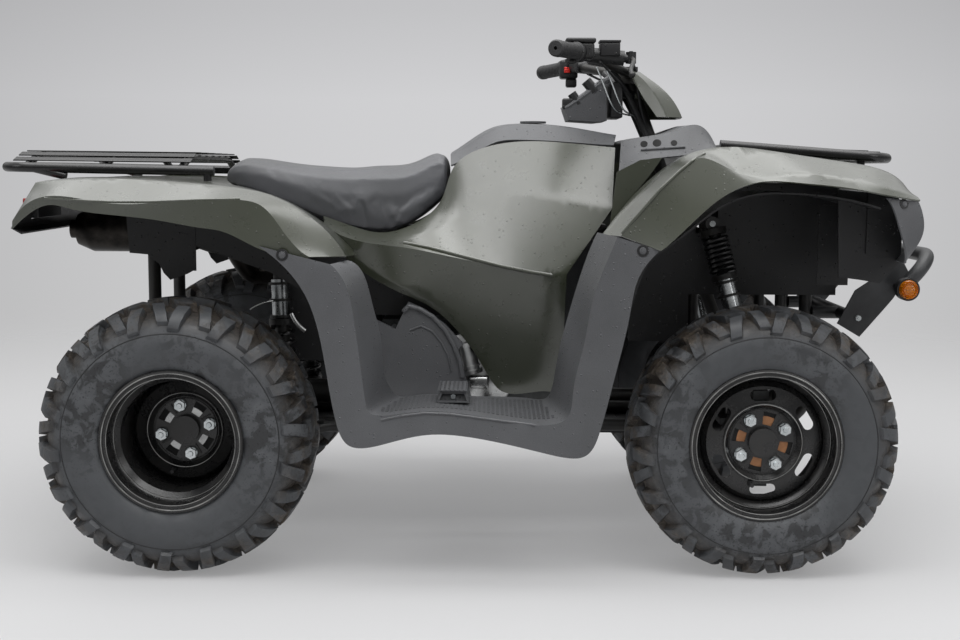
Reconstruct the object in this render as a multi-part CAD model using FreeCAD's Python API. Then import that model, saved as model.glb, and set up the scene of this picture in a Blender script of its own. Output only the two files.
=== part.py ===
import FreeCAD, Part

import math
import os

from FreeCAD import Vector as V

# A utility quad bike on its wheels. X points forward, Y to its left, Z up, in millimetres.
# The origin is on the ground, under the middle of the overall length.

os.makedirs("parts", exist_ok=True)

# Overall layout
wheelbase = 1268.0
rear_overhang = 433.0
front_overhang = 449.0
rear_axle_x = rear_overhang - (rear_overhang + wheelbase + front_overhang) / 2
front_axle_x = rear_axle_x + wheelbase
clearance = 0.3
overrun = 40.0

# Tyres and rims
front_tyre_od = 590.0
front_tyre_width = 206.0
front_rim_dia = 332.0
front_bead_dia = 304.0
front_wheel_y = 440.0
rear_tyre_od = 602.0
rear_tyre_width = 254.0
rear_rim_dia = 308.0
rear_bead_dia = 280.0
rear_wheel_y = 440.0
lug_height = 20.0
lug_length = 52.0
lug_sink = 6.0
lug_pitches = 14
tyre_wall = 12.0
rim_wall = 4.0
rim_lip = 14.0
front_rim_width = 168.0
rear_rim_width = 218.0
front_face_recess = 48.0
rear_face_recess = 150.0
hub_dia = 62.0
hub_cap_stand = 14.0
nut_circle_dia = 110.0
nut_dia = 21.0
nut_stand = 12.0
nut_count = 4
front_nut_turn_deg = 31.0
rear_nut_turn_deg = 12.0
rim_hump = 42.0
rim_drop = 56.0
pan_dia = 146.0
dome_dia = 168.0
dome_rise = 12.0
dome_slope = 8.0
hand_hole_inner = 20.0
hand_hole_outer = 29.0
hand_hole_start = 37.0
hand_hole_end = 65.0
vent_count = 6
vent_width = 24.0
vent_length = 56.0
vent_circle_dia = 206.0

lug_half_turn = math.asin(lug_length / rear_tyre_od)
front_axle_z = front_tyre_od / 2 * math.cos(math.asin(lug_length / front_tyre_od))
rear_axle_z = rear_tyre_od / 2 * math.cos(lug_half_turn)

# Steering
kingpin_y = 385.0
steer_arm = 75.0
steer_arm_rise = 46.0
stem_top_ahead = 1010.0
stem_top_z = 1106.0
stem_angle_deg = 21.0
stem_dia = 32.0
stem_foot_rise = 136.0
stem_foot_z = front_axle_z + stem_foot_rise

# Body panels
wall = 4.0


def at_rear(distance):
    """X of a place so far ahead of the rear axle."""
    return rear_axle_x + distance


def at_front(distance):
    """X of a place so far ahead of the front axle."""
    return front_axle_x + distance


def fused(shapes):
    """One shape from several that meet."""
    first = shapes[0]
    if len(shapes) == 1:
        return first
    return first.multiFuse(shapes[1:]).removeSplitter()


def mirrored(shape):
    """The same piece on the other side of the quad bike."""
    return shape.mirror(V(0, 0, 0), V(0, 1, 0))


def polygon_face(points):
    """A flat face inside a closed line through the points."""
    return Part.Face(Part.makePolygon(points + points[:1]))


def side_plate(points, y_low, y_high):
    """A plate with an outline of (x, z) points, between two planes across Y."""
    face = polygon_face([V(x, y_low, z) for x, z in points])
    return face.extrude(V(0, y_high - y_low, 0))


def box(x0, x1, y0, y1, z0, z1):
    """A block between two corners."""
    return Part.makeBox(x1 - x0, y1 - y0, z1 - z0, V(x0, y0, z0))


def rod(start, end, dia):
    """A round bar from one point to another."""
    run = end - start
    return Part.makeCylinder(dia / 2, run.Length, start, run)


def bent_tube(points, dia, bend):
    """A round tube through the points, with an arc of radius bend at each inner point."""
    edges = []
    start = points[0]
    for before, corner, after in zip(points, points[1:], points[2:]):
        into = (corner - before).normalize()
        out = (after - corner).normalize()
        turn = into.getAngle(out)
        back = bend * math.tan(turn / 2)
        a = corner - into * back
        b = corner + out * back
        inward = (out - into).normalize()
        middle = corner + inward * (bend / math.cos(turn / 2) - bend)
        edges.append(Part.LineSegment(start, a).toShape())
        edges.append(Part.Arc(a, middle, b).toShape())
        start = b
    edges.append(Part.LineSegment(start, points[-1]).toShape())
    path = Part.Wire(edges)
    ring = Part.Wire([Part.makeCircle(dia / 2, points[0], points[1] - points[0])])
    return path.makePipeShell([ring], True, False)


def revolved(profile):
    """A ring about the Y axis from a closed (radius, y) profile."""
    face = polygon_face([V(r, y, 0) for r, y in profile])
    return face.revolve(V(0, 0, 0), V(0, 1, 0), 360)


def rail_curve(points, stations):
    """A smooth curve through the points at the given stations along it."""
    curve = Part.BSplineCurve()
    curve.interpolate(Points=points, Parameters=stations)
    return curve


def ruled(first, second):
    """The face swept by a straight line from one curve to another."""
    return first.makeRuledSurface(second).toShape()


def skin(rails, thickness):
    """A moulded panel of even thickness: smooth along its rails, creased from rail to rail."""
    last = len(rails) - 1
    inner = []
    for i, rail in enumerate(rails):
        row = []
        for j, point in enumerate(rail):
            across = rails[min(i + 1, last)][j] - rails[max(i - 1, 0)][j]
            along = rail[min(j + 1, len(rail) - 1)] - rail[max(j - 1, 0)]
            normal = across.cross(along).normalize()
            row.append(point - normal * thickness)
        inner.append(row)
    stations = [0.0]
    for j in range(1, len(rails[0])):
        stations.append(stations[-1] + sum((rail[j] - rail[j - 1]).Length for rail in rails))
    outer_curves = [rail_curve(rail, stations) for rail in rails]
    inner_curves = [rail_curve(rail, stations) for rail in inner]
    faces = []
    for k in range(last):
        faces.append(ruled(outer_curves[k], outer_curves[k + 1]))
        faces.append(ruled(inner_curves[k], inner_curves[k + 1]))
        for end in (0, -1):
            above = Part.LineSegment(rails[k][end], rails[k + 1][end])
            below = Part.LineSegment(inner[k][end], inner[k + 1][end])
            faces.append(ruled(above, below))
    for k in (0, last):
        faces.append(ruled(outer_curves[k], inner_curves[k]))
    shell = Part.makeShell(faces)
    shell.sewShape()
    solid = Part.makeSolid(shell)
    if solid.Volume < 0:
        solid.reverse()
    return solid


def rails_from(table, x0, length, half_width, z0, rise, side):
    """Rails of points from rows of (length, width, height) shares of a panel's box."""
    return [
        [V(x0 + u * length, side * v * half_width, z0 + w * rise) for u, v, w in row]
        for row in table
    ]


def loft_through(sections):
    """A closed body through closed sections, smooth from one to the next."""
    wires = [Part.makePolygon(points + points[:1]) for points in sections]
    return Part.makeLoft(wires, True, False)


def column(shape, x, y, dia):
    """What of a shape stands in a round column at a place."""
    size = shape.BoundBox
    return shape.common(rod(V(x, y, size.ZMin - overrun), V(x, y, size.ZMax + overrun), dia))


def top_at(shape, x, y, dia):
    """Height of the highest point of a shape within a round footprint."""
    return column(shape, x, y, dia).optimalBoundingBox(False).ZMax


def bottom_at(shape, x, y, dia):
    """Height of the lowest point of a shape within a round footprint."""
    return column(shape, x, y, dia).optimalBoundingBox(False).ZMin


def rest_height(shapes, x, y, dia):
    """Height of the highest point under a round footprint, over several shapes."""
    stretches = [column(shape, x, y, dia) for shape in shapes]
    return max(stretch.optimalBoundingBox(False).ZMax for stretch in stretches if stretch.Solids)


def save(name, shape):
    """Write one sub-part and print what it holds."""
    shape.exportStep("parts/" + name + ".step")
    print(name, "solids", len(shape.Solids), "valid", shape.isValid(), "litres", round(shape.Volume / 1e6, 3))


# Tyre: shares of the half width and of the wall height from rim lip to crown
tyre_outer_shares = [
    (0.48, 1.0),
    (1.0, 0.58),
]
tyre_lug_shares = [
    (1.0, 0.06),
    (0.95, 0.72),
    (0.66, 0.985),
]


def tyre(od, width, bead_dia, rim_dia, rim_width):
    """A knobbly tyre about the Y axis: flat facets from pitch to pitch, with a row of lugs each side."""
    crown = od / 2 - lug_height
    step = 2 * math.pi / lug_pitches
    slack = clearance / math.cos(step / 2)
    bead = bead_dia / 2 / math.cos(step / 2) + slack
    lip = rim_dia / 2 / math.cos(step / 2) + slack
    seat = rim_width / 2 - rim_lip - slack
    half = width / 2
    tall = crown - lip
    outer = [(bead, seat), (lip, rim_width / 2 - rim_wall - slack)]
    outer += [(lip + h * tall, v * half) for h, v in tyre_outer_shares]
    outer = outer + [(r, -y) for r, y in reversed(outer)]
    deep_share, narrow_share = tyre_outer_shares[1]
    inner = [(bead, seat - tyre_wall), (lip + deep_share * tall - tyre_wall, narrow_share * half - tyre_wall)]
    inner = [(r, -y) for r, y in inner] + list(reversed(inner))
    profile = outer + inner
    faces = []
    for k in range(lug_pitches):
        a = (k - 0.5) * step
        b = (k + 0.5) * step
        for (r0, y0), (r1, y1) in zip(profile, profile[1:] + profile[:1]):
            corners = [
                V(r0 * math.sin(a), y0, -r0 * math.cos(a)),
                V(r1 * math.sin(a), y1, -r1 * math.cos(a)),
                V(r1 * math.sin(b), y1, -r1 * math.cos(b)),
                V(r0 * math.sin(b), y0, -r0 * math.cos(b)),
            ]
            faces.append(polygon_face(corners))
    shell = Part.makeShell(faces)
    shell.sewShape()
    body = Part.makeSolid(shell)
    if body.Volume < 0:
        body.reverse()
    top = math.sqrt((od / 2) ** 2 - (lug_length / 2) ** 2)
    rise = top - lip
    section = [V(-lug_length / 2, v * half, -(lip + h * rise)) for h, v in tyre_lug_shares]
    root = lip + tyre_lug_shares[-1][0] * tall - lug_sink
    section.append(V(-lug_length / 2, half - lug_height, -root))
    section.append(V(-lug_length / 2, section[0].y, -(crown - lug_sink)))
    block = polygon_face(section).extrude(V(lug_length, 0, 0))
    lugs = []
    for k in range(lug_pitches):
        near = mirrored(block)
        near.rotate(V(0, 0, 0), V(0, 1, 0), math.degrees(k * step))
        lugs.append(near)
        far = block.copy()
        far.rotate(V(0, 0, 0), V(0, 1, 0), math.degrees((k + 0.5) * step))
        lugs.append(far)
    return body.multiFuse(lugs).removeSplitter()


def rim(width, rim_dia, bead_dia, recess, nut_turn_deg, vents):
    """A pressed steel rim about the Y axis with its outer face towards -Y, dished by recess."""
    lip = rim_dia / 2
    bead = bead_dia / 2
    half = width / 2
    well = bead - rim_lip
    face_y = -half + recess
    t = rim_wall
    outside = [(lip, half), (lip, half - t), (bead, half - rim_lip), (bead, half - rim_hump)]
    outside.append((well, half - rim_drop))
    inside = [(well - t, half - rim_drop), (bead - t, half - rim_hump), (bead - t, half)]
    profile = [(r, -y) for r, y in outside] + [(r, y) for r, y in reversed(outside)]
    profile += [(r, y) for r, y in reversed(inside)] + [(r, -y) for r, y in inside]
    barrel = revolved(profile)
    bowl = well - t / 2
    face = [
        (0, face_y),
        (pan_dia / 2, face_y),
        (dome_dia / 2, face_y - dome_rise),
        (bowl - rim_lip, face_y - dome_rise + dome_slope),
        (bowl, face_y + rim_lip),
    ]
    disc = revolved(face + [(r, y + t) for r, y in reversed(face)])
    cap = Part.makeCylinder(hub_dia / 2, hub_cap_stand, V(0, face_y - hub_cap_stand, 0), V(0, 1, 0))
    hand_hole = polygon_face([
        V(hand_hole_start, face_y - dome_rise, -hand_hole_inner / 2),
        V(hand_hole_end, face_y - dome_rise, -hand_hole_outer / 2),
        V(hand_hole_end, face_y - dome_rise, hand_hole_outer / 2),
        V(hand_hole_start, face_y - dome_rise, hand_hole_inner / 2),
    ]).extrude(V(0, 2 * dome_rise, 0))
    pieces = [barrel, disc, cap]
    holes = []
    for k in range(nut_count):
        step = 360 / nut_count
        turn = math.radians(nut_turn_deg + step * k)
        spot = V(nut_circle_dia / 2 * math.cos(turn), face_y - nut_stand, nut_circle_dia / 2 * math.sin(turn))
        pieces.append(Part.makeCylinder(nut_dia / 2, nut_stand, spot, V(0, 1, 0)))
        hole = hand_hole.copy()
        hole.rotate(V(0, 0, 0), V(0, 1, 0), -nut_turn_deg - step * (k + 1 / 2))
        holes.append(hole)
    for k in range(vents):
        ends = (vent_length - vent_width) / 2
        y = face_y - 2 * dome_rise
        r = vent_circle_dia / 2
        slot = fused([
            Part.makeCylinder(vent_width / 2, 2 * recess, V(r, y, -ends), V(0, 1, 0)),
            Part.makeCylinder(vent_width / 2, 2 * recess, V(r, y, ends), V(0, 1, 0)),
            box(r - vent_width / 2, r + vent_width / 2, y, y + 2 * recess, -ends, ends),
        ])
        slot.rotate(V(0, 0, 0), V(0, 1, 0), -nut_turn_deg - 360 / vents * k)
        holes.append(slot)
    return fused(pieces).cut(Part.makeCompound(holes))


def make_wheels():
    """Four tyres on their rims, the right ones with their outer face towards -Y."""
    ends = (
        ("front", front_axle_x, front_axle_z, front_wheel_y, front_tyre_od, front_tyre_width,
         front_bead_dia, front_rim_width, front_rim_dia, front_face_recess, front_nut_turn_deg, vent_count),
        ("rear", rear_axle_x, rear_axle_z, rear_wheel_y, rear_tyre_od, rear_tyre_width,
         rear_bead_dia, rear_rim_width, rear_rim_dia, rear_face_recess, rear_nut_turn_deg, 0),
    )
    for end, x, z, y, od, width, bead_dia, rim_width, rim_dia, recess, nut_turn_deg, vents in ends:
        right_tyre = tyre(od, width, bead_dia, rim_dia, rim_width)
        right_rim = rim(rim_width, rim_dia, bead_dia, recess, nut_turn_deg, vents)
        right_tyre.translate(V(x, -y, z))
        right_rim.translate(V(x, -y, z))
        save("tyre_" + end + "_right", right_tyre)
        save("rim_" + end + "_right", right_rim)
        save("tyre_" + end + "_left", mirrored(right_tyre))
        save("rim_" + end + "_left", mirrored(right_rim))


# Front fender: a wing each side, rails from the arch edge up to the inner edge
front_wing_start = -354.0
front_wing_length = 661.0
front_wing_low = 713.0
front_wing_rise = 214.0
front_wing_half = 585.0
front_wing_shares = [
    [(0.17, 1.0, 0.0), (0.22, 1.0, 0.13), (0.29, 1.0, 0.34), (0.36, 1.0, 0.52), (0.44, 1.0, 0.64),
     (0.60, 1.0, 0.655), (0.75, 0.985, 0.61), (0.885, 0.955, 0.54), (1.0, 0.89, 0.49)],
    [(0.05, 0.95, 0.135), (0.13, 0.955, 0.445), (0.205, 0.96, 0.70), (0.295, 0.95, 0.89),
     (0.40, 0.975, 0.76),
     (0.60, 0.98, 0.735), (0.75, 0.965, 0.68), (0.885, 0.935, 0.60), (0.997, 0.87, 0.52)],
    [(0.0, 0.80, 0.125), (0.08, 0.81, 0.415), (0.17, 0.82, 0.70), (0.26, 0.82, 0.91), (0.36, 0.82, 0.995),
     (0.57, 0.82, 0.95), (0.765, 0.81, 0.865), (0.917, 0.79, 0.765), (0.995, 0.77, 0.565)],
    [(0.02, 0.56, 0.095), (0.09, 0.55, 0.385), (0.175, 0.55, 0.665), (0.27, 0.55, 0.885),
     (0.36, 0.55, 0.985),
     (0.57, 0.55, 0.96), (0.76, 0.55, 0.885), (0.91, 0.55, 0.79), (0.987, 0.55, 0.60)],
]
hood_shares = [
    [(0.42, 0.56, 0.955), (0.57, 0.56, 0.937), (0.76, 0.56, 0.862), (0.905, 0.56, 0.768),
     (0.98, 0.56, 0.595)],
    [(0.42, 0.40, 0.90), (0.57, 0.40, 0.87), (0.76, 0.40, 0.80), (0.91, 0.40, 0.70), (1.0, 0.40, 0.50)],
    [(0.42, 0.0, 0.90), (0.57, 0.0, 0.87), (0.76, 0.0, 0.80), (0.915, 0.0, 0.70), (1.01, 0.0, 0.50)],
]


def spanned(table):
    """Rails for a panel that spans the quad bike: the rows, then their mirror images."""
    mirror = [[(u, -v, w) for u, v, w in row] for row in reversed(table[:-1])]
    return table + mirror


def front_panel(table):
    """A panel of the front body from its rails."""
    rails = rails_from(table, at_front(front_wing_start), front_wing_length, front_wing_half,
                       front_wing_low, front_wing_rise, 1)
    return skin(rails, wall)


def make_front_body():
    """Front wings and the hood between them."""
    left = front_panel(front_wing_shares)
    right = mirrored(left)
    hood = front_panel(spanned(hood_shares))
    save("front_fender_right", right)
    save("front_fender_left", left)
    save("hood", hood)
    return [right, left, hood]


# Fender tips: the grey corner caps ahead of the front wheels
tip_start = 230.0
tip_length = 96.0
tip_low = 684.0
tip_rise = 139.0
tip_half = 548.0
tip_shares = [
    [(0.0, 1.0, 1.0), (0.17, 1.0, 0.80), (0.28, 1.0, 0.58), (0.42, 1.0, 0.29), (0.46, 1.0, 0.03)],
    [(0.76, 0.95, 0.945), (0.88, 0.95, 0.72), (0.90, 0.95, 0.50), (0.75, 0.95, 0.25), (0.50, 0.95, 0.0)],
    [(0.95, 0.80, 0.93), (1.03, 0.80, 0.70), (1.03, 0.80, 0.48), (0.86, 0.80, 0.23), (0.60, 0.80, 0.0)],
]


def make_fender_tips():
    """Both grey fender tips, which close the front corners below the wings."""
    rails = rails_from(tip_shares, at_front(tip_start), tip_length, tip_half, tip_low, tip_rise, 1)
    left = skin(rails, wall)
    save("fender_tips", Part.makeCompound([mirrored(left), left]))


# Rear fender: a wing each side, the deck between them and the tail panel
rear_wing_start = -322.0
rear_wing_length = 694.0
rear_wing_low = 680.0
rear_wing_rise = 175.0
rear_wing_half = 572.0
rear_wing_shares = [
    [(0.01, 0.99, 0.40), (0.097, 0.99, 0.665), (0.197, 0.99, 0.635), (0.42, 0.99, 0.53), (0.57, 0.99, 0.43),
     (0.66, 0.99, 0.355), (0.738, 0.99, 0.20), (0.80, 0.985, 0.115), (0.88, 0.98, 0.01)],
    [(0.014, 1.0, 0.50), (0.10, 1.0, 0.78), (0.272, 1.0, 0.73), (0.467, 1.0, 0.73), (0.594, 1.0, 0.75),
     (0.70, 1.0, 0.76), (0.764, 1.0, 0.675), (0.817, 0.99, 0.41), (0.896, 0.98, 0.09)],
    [(0.053, 0.875, 0.95), (0.125, 0.875, 0.99), (0.272, 0.875, 1.0), (0.464, 0.875, 0.97),
     (0.594, 0.875, 0.93),
     (0.742, 0.875, 0.845), (0.831, 0.87, 0.70), (0.918, 0.86, 0.45), (0.994, 0.85, 0.07)],
    [(0.058, 0.70, 0.965), (0.125, 0.70, 1.005), (0.272, 0.70, 1.015), (0.464, 0.66, 0.98),
     (0.594, 0.46, 0.91),
     (0.742, 0.345, 0.72), (0.836, 0.345, 0.52), (0.922, 0.40, 0.30), (1.0, 0.55, 0.03)],
]
deck_shares = [
    [(0.058, 0.70, 0.938), (0.125, 0.70, 0.978), (0.272, 0.70, 0.988), (0.45, 0.67, 0.955),
     (0.565, 0.49, 0.885)],
    [(0.058, 0.40, 0.96), (0.125, 0.40, 1.0), (0.272, 0.40, 1.0), (0.45, 0.35, 0.975), (0.55, 0.32, 0.83)],
    [(0.058, 0.0, 0.97), (0.125, 0.0, 1.01), (0.272, 0.0, 1.01), (0.45, 0.0, 0.98), (0.54, 0.0, 0.83)],
]
tail_shares = [
    [(0.052, 0.86, 0.93), (0.052, 0.50, 0.93), (0.052, 0.0, 0.93), (0.052, -0.50, 0.93),
     (0.052, -0.86, 0.93)],
    [(0.0, 0.97, 0.41), (-0.012, 0.50, 0.41), (-0.02, 0.0, 0.41), (-0.012, -0.50, 0.41),
     (0.0, -0.97, 0.41)],
    [(0.03, 0.965, 0.34), (0.018, 0.50, 0.34), (0.01, 0.0, 0.34), (0.018, -0.50, 0.34),
     (0.03, -0.965, 0.34)],
]


def rear_panel(table):
    """A panel of the rear body from its rails."""
    rails = rails_from(table, at_rear(rear_wing_start), rear_wing_length, rear_wing_half,
                       rear_wing_low, rear_wing_rise, 1)
    return skin(rails, wall)


def make_rear_body():
    """Rear wings, the deck under the rack, and the tail panel with its lamps."""
    left = rear_panel(rear_wing_shares)
    right = mirrored(left)
    deck = rear_panel(spanned(deck_shares))
    save("rear_fender_right", right)
    save("rear_fender_left", left)
    save("rear_deck", deck)
    save("tail_panel", rear_panel(tail_shares).cut(tail_lamp_blocks(clearance)))
    save("tail_lamps", tail_lamp_blocks(0))
    return [right, left, deck]


# Tank strip: the grey ridge over the tank
strip_start = 580.0
strip_length = 460.0
strip_low = 887.0
strip_rise = 102.0
strip_half = 144.0
strip_shares = [
    [(0.004, 1.0, 0.0), (0.155, 1.0, 0.35), (0.256, 1.0, 0.56), (0.36, 1.0, 0.59), (0.62, 1.0, 0.54),
     (0.84, 1.0, 0.48)],
    [(0.0, 0.70, 0.25), (0.13, 0.70, 0.60), (0.24, 0.70, 0.88), (0.33, 0.70, 0.95), (0.63, 0.70, 0.88),
     (0.86, 0.70, 0.72)],
    [(0.0, 0.0, 0.31), (0.126, 0.0, 0.69), (0.23, 0.0, 0.93), (0.33, 0.0, 1.0), (0.63, 0.0, 0.93),
     (0.86, 0.0, 0.755)],
]


def make_tank_strip():
    """The strip over the tank, from the seat to the console."""
    rails = rails_from(spanned(strip_shares), at_rear(strip_start), strip_length, strip_half,
                       strip_low, strip_rise, 1)
    strip = skin(rails, wall)
    save("tank_strip", strip)
    return strip


# Side cover: the olive panel from the seat down to the footwell
cover_start = 285.0
cover_length = 684.0
cover_low = 362.0
cover_rise = 583.0
cover_half = 305.0
cover_shares = [
    [(0.0, 0.66, 0.69), (0.12, 0.63, 0.64), (0.245, 0.61, 0.63), (0.40, 0.56, 0.745), (0.46, 0.50, 0.91),
     (0.61, 0.47, 0.985), (0.81, 0.47, 0.99), (1.0, 0.50, 0.97)],
    [(0.01, 0.79, 0.675), (0.127, 0.79, 0.62), (0.255, 0.79, 0.605), (0.415, 0.77, 0.66),
     (0.53, 0.73, 0.735),
     (0.665, 0.72, 0.785), (0.825, 0.76, 0.77), (0.98, 0.80, 0.73)],
    [(0.015, 0.95, 0.665), (0.14, 0.98, 0.60), (0.285, 1.0, 0.58), (0.445, 1.0, 0.545), (0.578, 1.0, 0.515),
     (0.665, 1.0, 0.495), (0.75, 1.0, 0.478), (0.825, 0.97, 0.478)],
    [(0.02, 0.93, 0.655), (0.145, 0.93, 0.52), (0.285, 0.92, 0.42), (0.417, 0.885, 0.34),
     (0.52, 0.87, 0.235),
     (0.607, 0.87, 0.185), (0.71, 0.885, 0.185), (0.82, 0.885, 0.235)],
    [(0.025, 0.92, 0.645), (0.13, 0.90, 0.50), (0.27, 0.885, 0.405), (0.404, 0.86, 0.32),
     (0.533, 0.835, 0.14),
     (0.607, 0.82, 0.01), (0.71, 0.82, 0.0), (0.785, 0.82, 0.0)],
]


def make_side_covers():
    """Both side covers of the tank and engine."""
    rails = rails_from(cover_shares, at_rear(cover_start), cover_length, cover_half, cover_low, cover_rise, 1)
    left = skin(rails, wall)
    save("side_cover_right", mirrored(left))
    save("side_cover_left", left)


# Engine cover: the grey plate behind the rider's foot
engine_cover_start = 405.0
engine_cover_length = 231.0
engine_cover_low = 347.0
engine_cover_rise = 227.0
engine_cover_y = 258.0
engine_cover_depth = 12.0
engine_boss_dia = 16.0
engine_boss_shares = ((0.12, 0.55), (0.42, 0.62), (0.42, 0.12))
engine_cover_shares = [
    (0.0, 0.0), (0.0, 0.83), (0.23, 0.72), (0.36, 1.0), (0.53, 0.92), (0.73, 0.77), (0.91, 0.57),
    (0.86, 0.52),
    (0.925, 0.26), (1.0, 0.0),
]


def make_engine_covers():
    """Both grey covers beside the rear of the engine."""
    outline = [
        (at_rear(engine_cover_start) + u * engine_cover_length, engine_cover_low + w * engine_cover_rise)
        for u, w in engine_cover_shares
    ]
    pieces = [side_plate(outline, -engine_cover_y - engine_cover_depth, -engine_cover_y)]
    for u, w in engine_boss_shares:
        x = at_rear(engine_cover_start) + u * engine_cover_length
        z = engine_cover_low + w * engine_cover_rise
        pieces.append(rod(V(x, -engine_cover_y, z), V(x, -engine_half - clearance, z), engine_boss_dia))
    plate = fused(pieces)
    save("engine_covers", Part.makeCompound([plate, mirrored(plate)]))


# Seat: shares of its length, half width and height at stations from the rear
seat_start = 38.0
seat_length = 538.0
seat_low = 722.0
seat_rise = 200.0
seat_half = 185.0
seat_station_shares = [
    (0.0, 0.70, 0.62, 0.72, 0.76),
    (0.06, 0.84, 0.56, 0.78, 0.88),
    (0.22, 0.98, 0.42, 0.72, 0.855),
    (0.40, 1.0, 0.22, 0.66, 0.80),
    (0.60, 0.98, 0.06, 0.60, 0.785),
    (0.75, 0.93, 0.04, 0.60, 0.81),
    (0.88, 0.84, 0.20, 0.68, 0.90),
    (0.97, 0.76, 0.42, 0.80, 0.99),
    (1.0, 0.72, 0.50, 0.74, 0.84),
]
seat_section_shares = [(-1.0, 0.0), (-1.0, 0.55), (-0.93, 0.85), (-0.70, 0.97), (-0.35, 1.0)]


def make_seat():
    """The saddle: a crowned body through closed sections from rear to front."""
    sections = []
    for u, half, low, edge, top in seat_station_shares:
        x = at_rear(seat_start) + u * seat_length
        half_line = []
        for v, w in seat_section_shares:
            z = seat_low + (low + w * (top - low)) * seat_rise
            half_line.append((v * half * seat_half, z))
        other = [(-y, z) for y, z in reversed(half_line)]
        sections.append([V(x, y, z) for y, z in half_line + other])
    seat = loft_through(sections)
    save("seat", seat)
    return seat


# Floorboard with the mudguards that rise from its ends
floor_start = 197.0
floor_length = 829.0
floor_low = 280.0
floor_rise = 464.0
floor_half = 602.5
floor_shares = [
    [(0.0, 0.953, 0.945), (0.088, 0.949, 0.80), (0.13, 0.945, 0.66), (0.163, 0.95, 0.41),
     (0.188, 0.955, 0.165),
     (0.221, 0.97, 0.05), (0.33, 0.985, 0.067), (0.438, 1.0, 0.108), (0.583, 1.0, 0.08),
     (0.715, 1.0, 0.026),
     (0.809, 0.985, 0.002), (0.854, 0.98, 0.108), (0.89, 0.975, 0.356), (0.926, 0.97, 0.636),
     (0.95, 0.965, 0.82),
     (1.0, 0.96, 0.933)],
    [(0.178, 0.95, 0.865), (0.218, 0.955, 0.767), (0.234, 0.955, 0.647), (0.251, 0.955, 0.43),
     (0.264, 0.955, 0.248),
     (0.283, 0.965, 0.19), (0.378, 0.98, 0.203), (0.474, 0.99, 0.209), (0.595, 0.99, 0.177),
     (0.703, 0.99, 0.151),
     (0.771, 0.98, 0.177), (0.788, 0.975, 0.302), (0.814, 0.97, 0.517), (0.838, 0.965, 0.733),
     (0.87, 0.96, 0.892),
     (0.894, 0.955, 0.993)],
    [(0.204, 0.74, 0.865), (0.248, 0.72, 0.79), (0.269, 0.72, 0.657), (0.293, 0.72, 0.474),
     (0.304, 0.70, 0.29),
     (0.329, 0.60, 0.198), (0.39, 0.52, 0.185), (0.486, 0.50, 0.177), (0.595, 0.50, 0.172),
     (0.691, 0.52, 0.168),
     (0.737, 0.60, 0.198), (0.754, 0.70, 0.366), (0.778, 0.72, 0.571), (0.805, 0.72, 0.744),
     (0.834, 0.73, 0.905),
     (0.856, 0.74, 1.0)],
]


def make_floorboards():
    """Both floorboards, each one moulding with its two mudguards."""
    rails = rails_from(floor_shares, at_rear(floor_start), floor_length, floor_half, floor_low, floor_rise, 1)
    left = skin(rails, wall)
    save("floorboard_right", mirrored(left))
    save("floorboard_left", left)
    return left


# Console: the grey cover ahead of the tank, around the steering stem
console_start = -302.0
console_length = 229.0
console_low = 873.0
console_rise = 112.0
console_half = 300.0
console_shares = [
    [(0.0, 0.96, 0.02), (0.21, 0.99, 0.22), (0.40, 1.0, 0.29), (0.71, 1.0, 0.355), (0.98, 1.0, 0.40)],
    [(0.03, 0.85, 0.60), (0.22, 0.87, 0.70), (0.50, 0.88, 0.80), (0.76, 0.86, 0.96), (0.98, 0.84, 0.50)],
    [(0.03, 0.0, 0.62), (0.22, 0.0, 0.72), (0.50, 0.0, 0.82), (0.76, 0.0, 1.0), (1.0, 0.0, 0.60)],
]
stem_slot_half = 62.0
stem_slot_back = 62.0
stem_slot_front = 62.0


def make_console():
    """The console with its slot for the steering stem."""
    rails = rails_from(spanned(console_shares), at_front(console_start), console_length, console_half, console_low,
                       console_rise, 1)
    cover = skin(rails, wall)
    middle = stem_x(console_low + console_rise)
    slot = box(middle - stem_slot_back, middle + stem_slot_front, -stem_slot_half, stem_slot_half,
               console_low, console_low + 2 * console_rise)
    save("console", cover.cut(slot))


# Frame
rail_dia = 30.0
rail_bend = 45.0
post_dia = 26.0
frame_low_z = 262.0
frame_top_z = 700.0
frame_half = 128.0
frame_seat_z = 690.0
frame_tail_z = 780.0
frame_tail = -255.0
frame_tail_bend = 10.0
frame_nose = 165.0
seat_rail_end = 430.0
tank_rail_end = 720.0
tank_rail_rise = 60.0
rear_post = -130.0
rear_foot = -60.0
front_post = -140.0
front_foot_spread = 105.0
rear_foot_back = -70.0
rear_foot_front = 105.0
rear_leg_front = 300.0
middle_post = 385.0
arm_rail_rise = 119.0
arm_rail_z = front_axle_z + arm_rail_rise
low_cross_places = (160.0, 444.0, 805.0, 1140.0, 1370.0)
engine_mount_places = (444.0, 805.0)
engine_mount_size = 40.0
engine_mount_half = 60.0
seat_cross_places = (-225.0, 76.0, 400.0)
seat_pad_places = (330.0, 480.0)
seat_pad_dia = 34.0
deck_pad_ahead = 16.0
strip_pad_ahead = 770.0
outrigger_places = (520.0, 680.0)
outrigger_inner = 330.0
outrigger_outer = 540.0
bearing_wall = 8.0
bearing_length = 34.0
upper_bearing_z = 700.0
lower_bearing_z = 480.0
front_shock_head = (-78.0, 215.0, 755.0)
rear_shock_head = (180.0, 205.0, 705.0)
shock_eye_length = 40.0


def stem_x(z):
    """X of the steering axis at a height."""
    return at_rear(stem_top_ahead) + (stem_top_z - z) * math.tan(math.radians(stem_angle_deg))


def stem_point(z):
    """The point of the steering axis at a height."""
    return V(stem_x(z), 0, z)


def stem_axis():
    """The direction of the steering axis, upwards."""
    return (stem_point(stem_top_z) - stem_point(stem_foot_z)).normalize()


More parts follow.
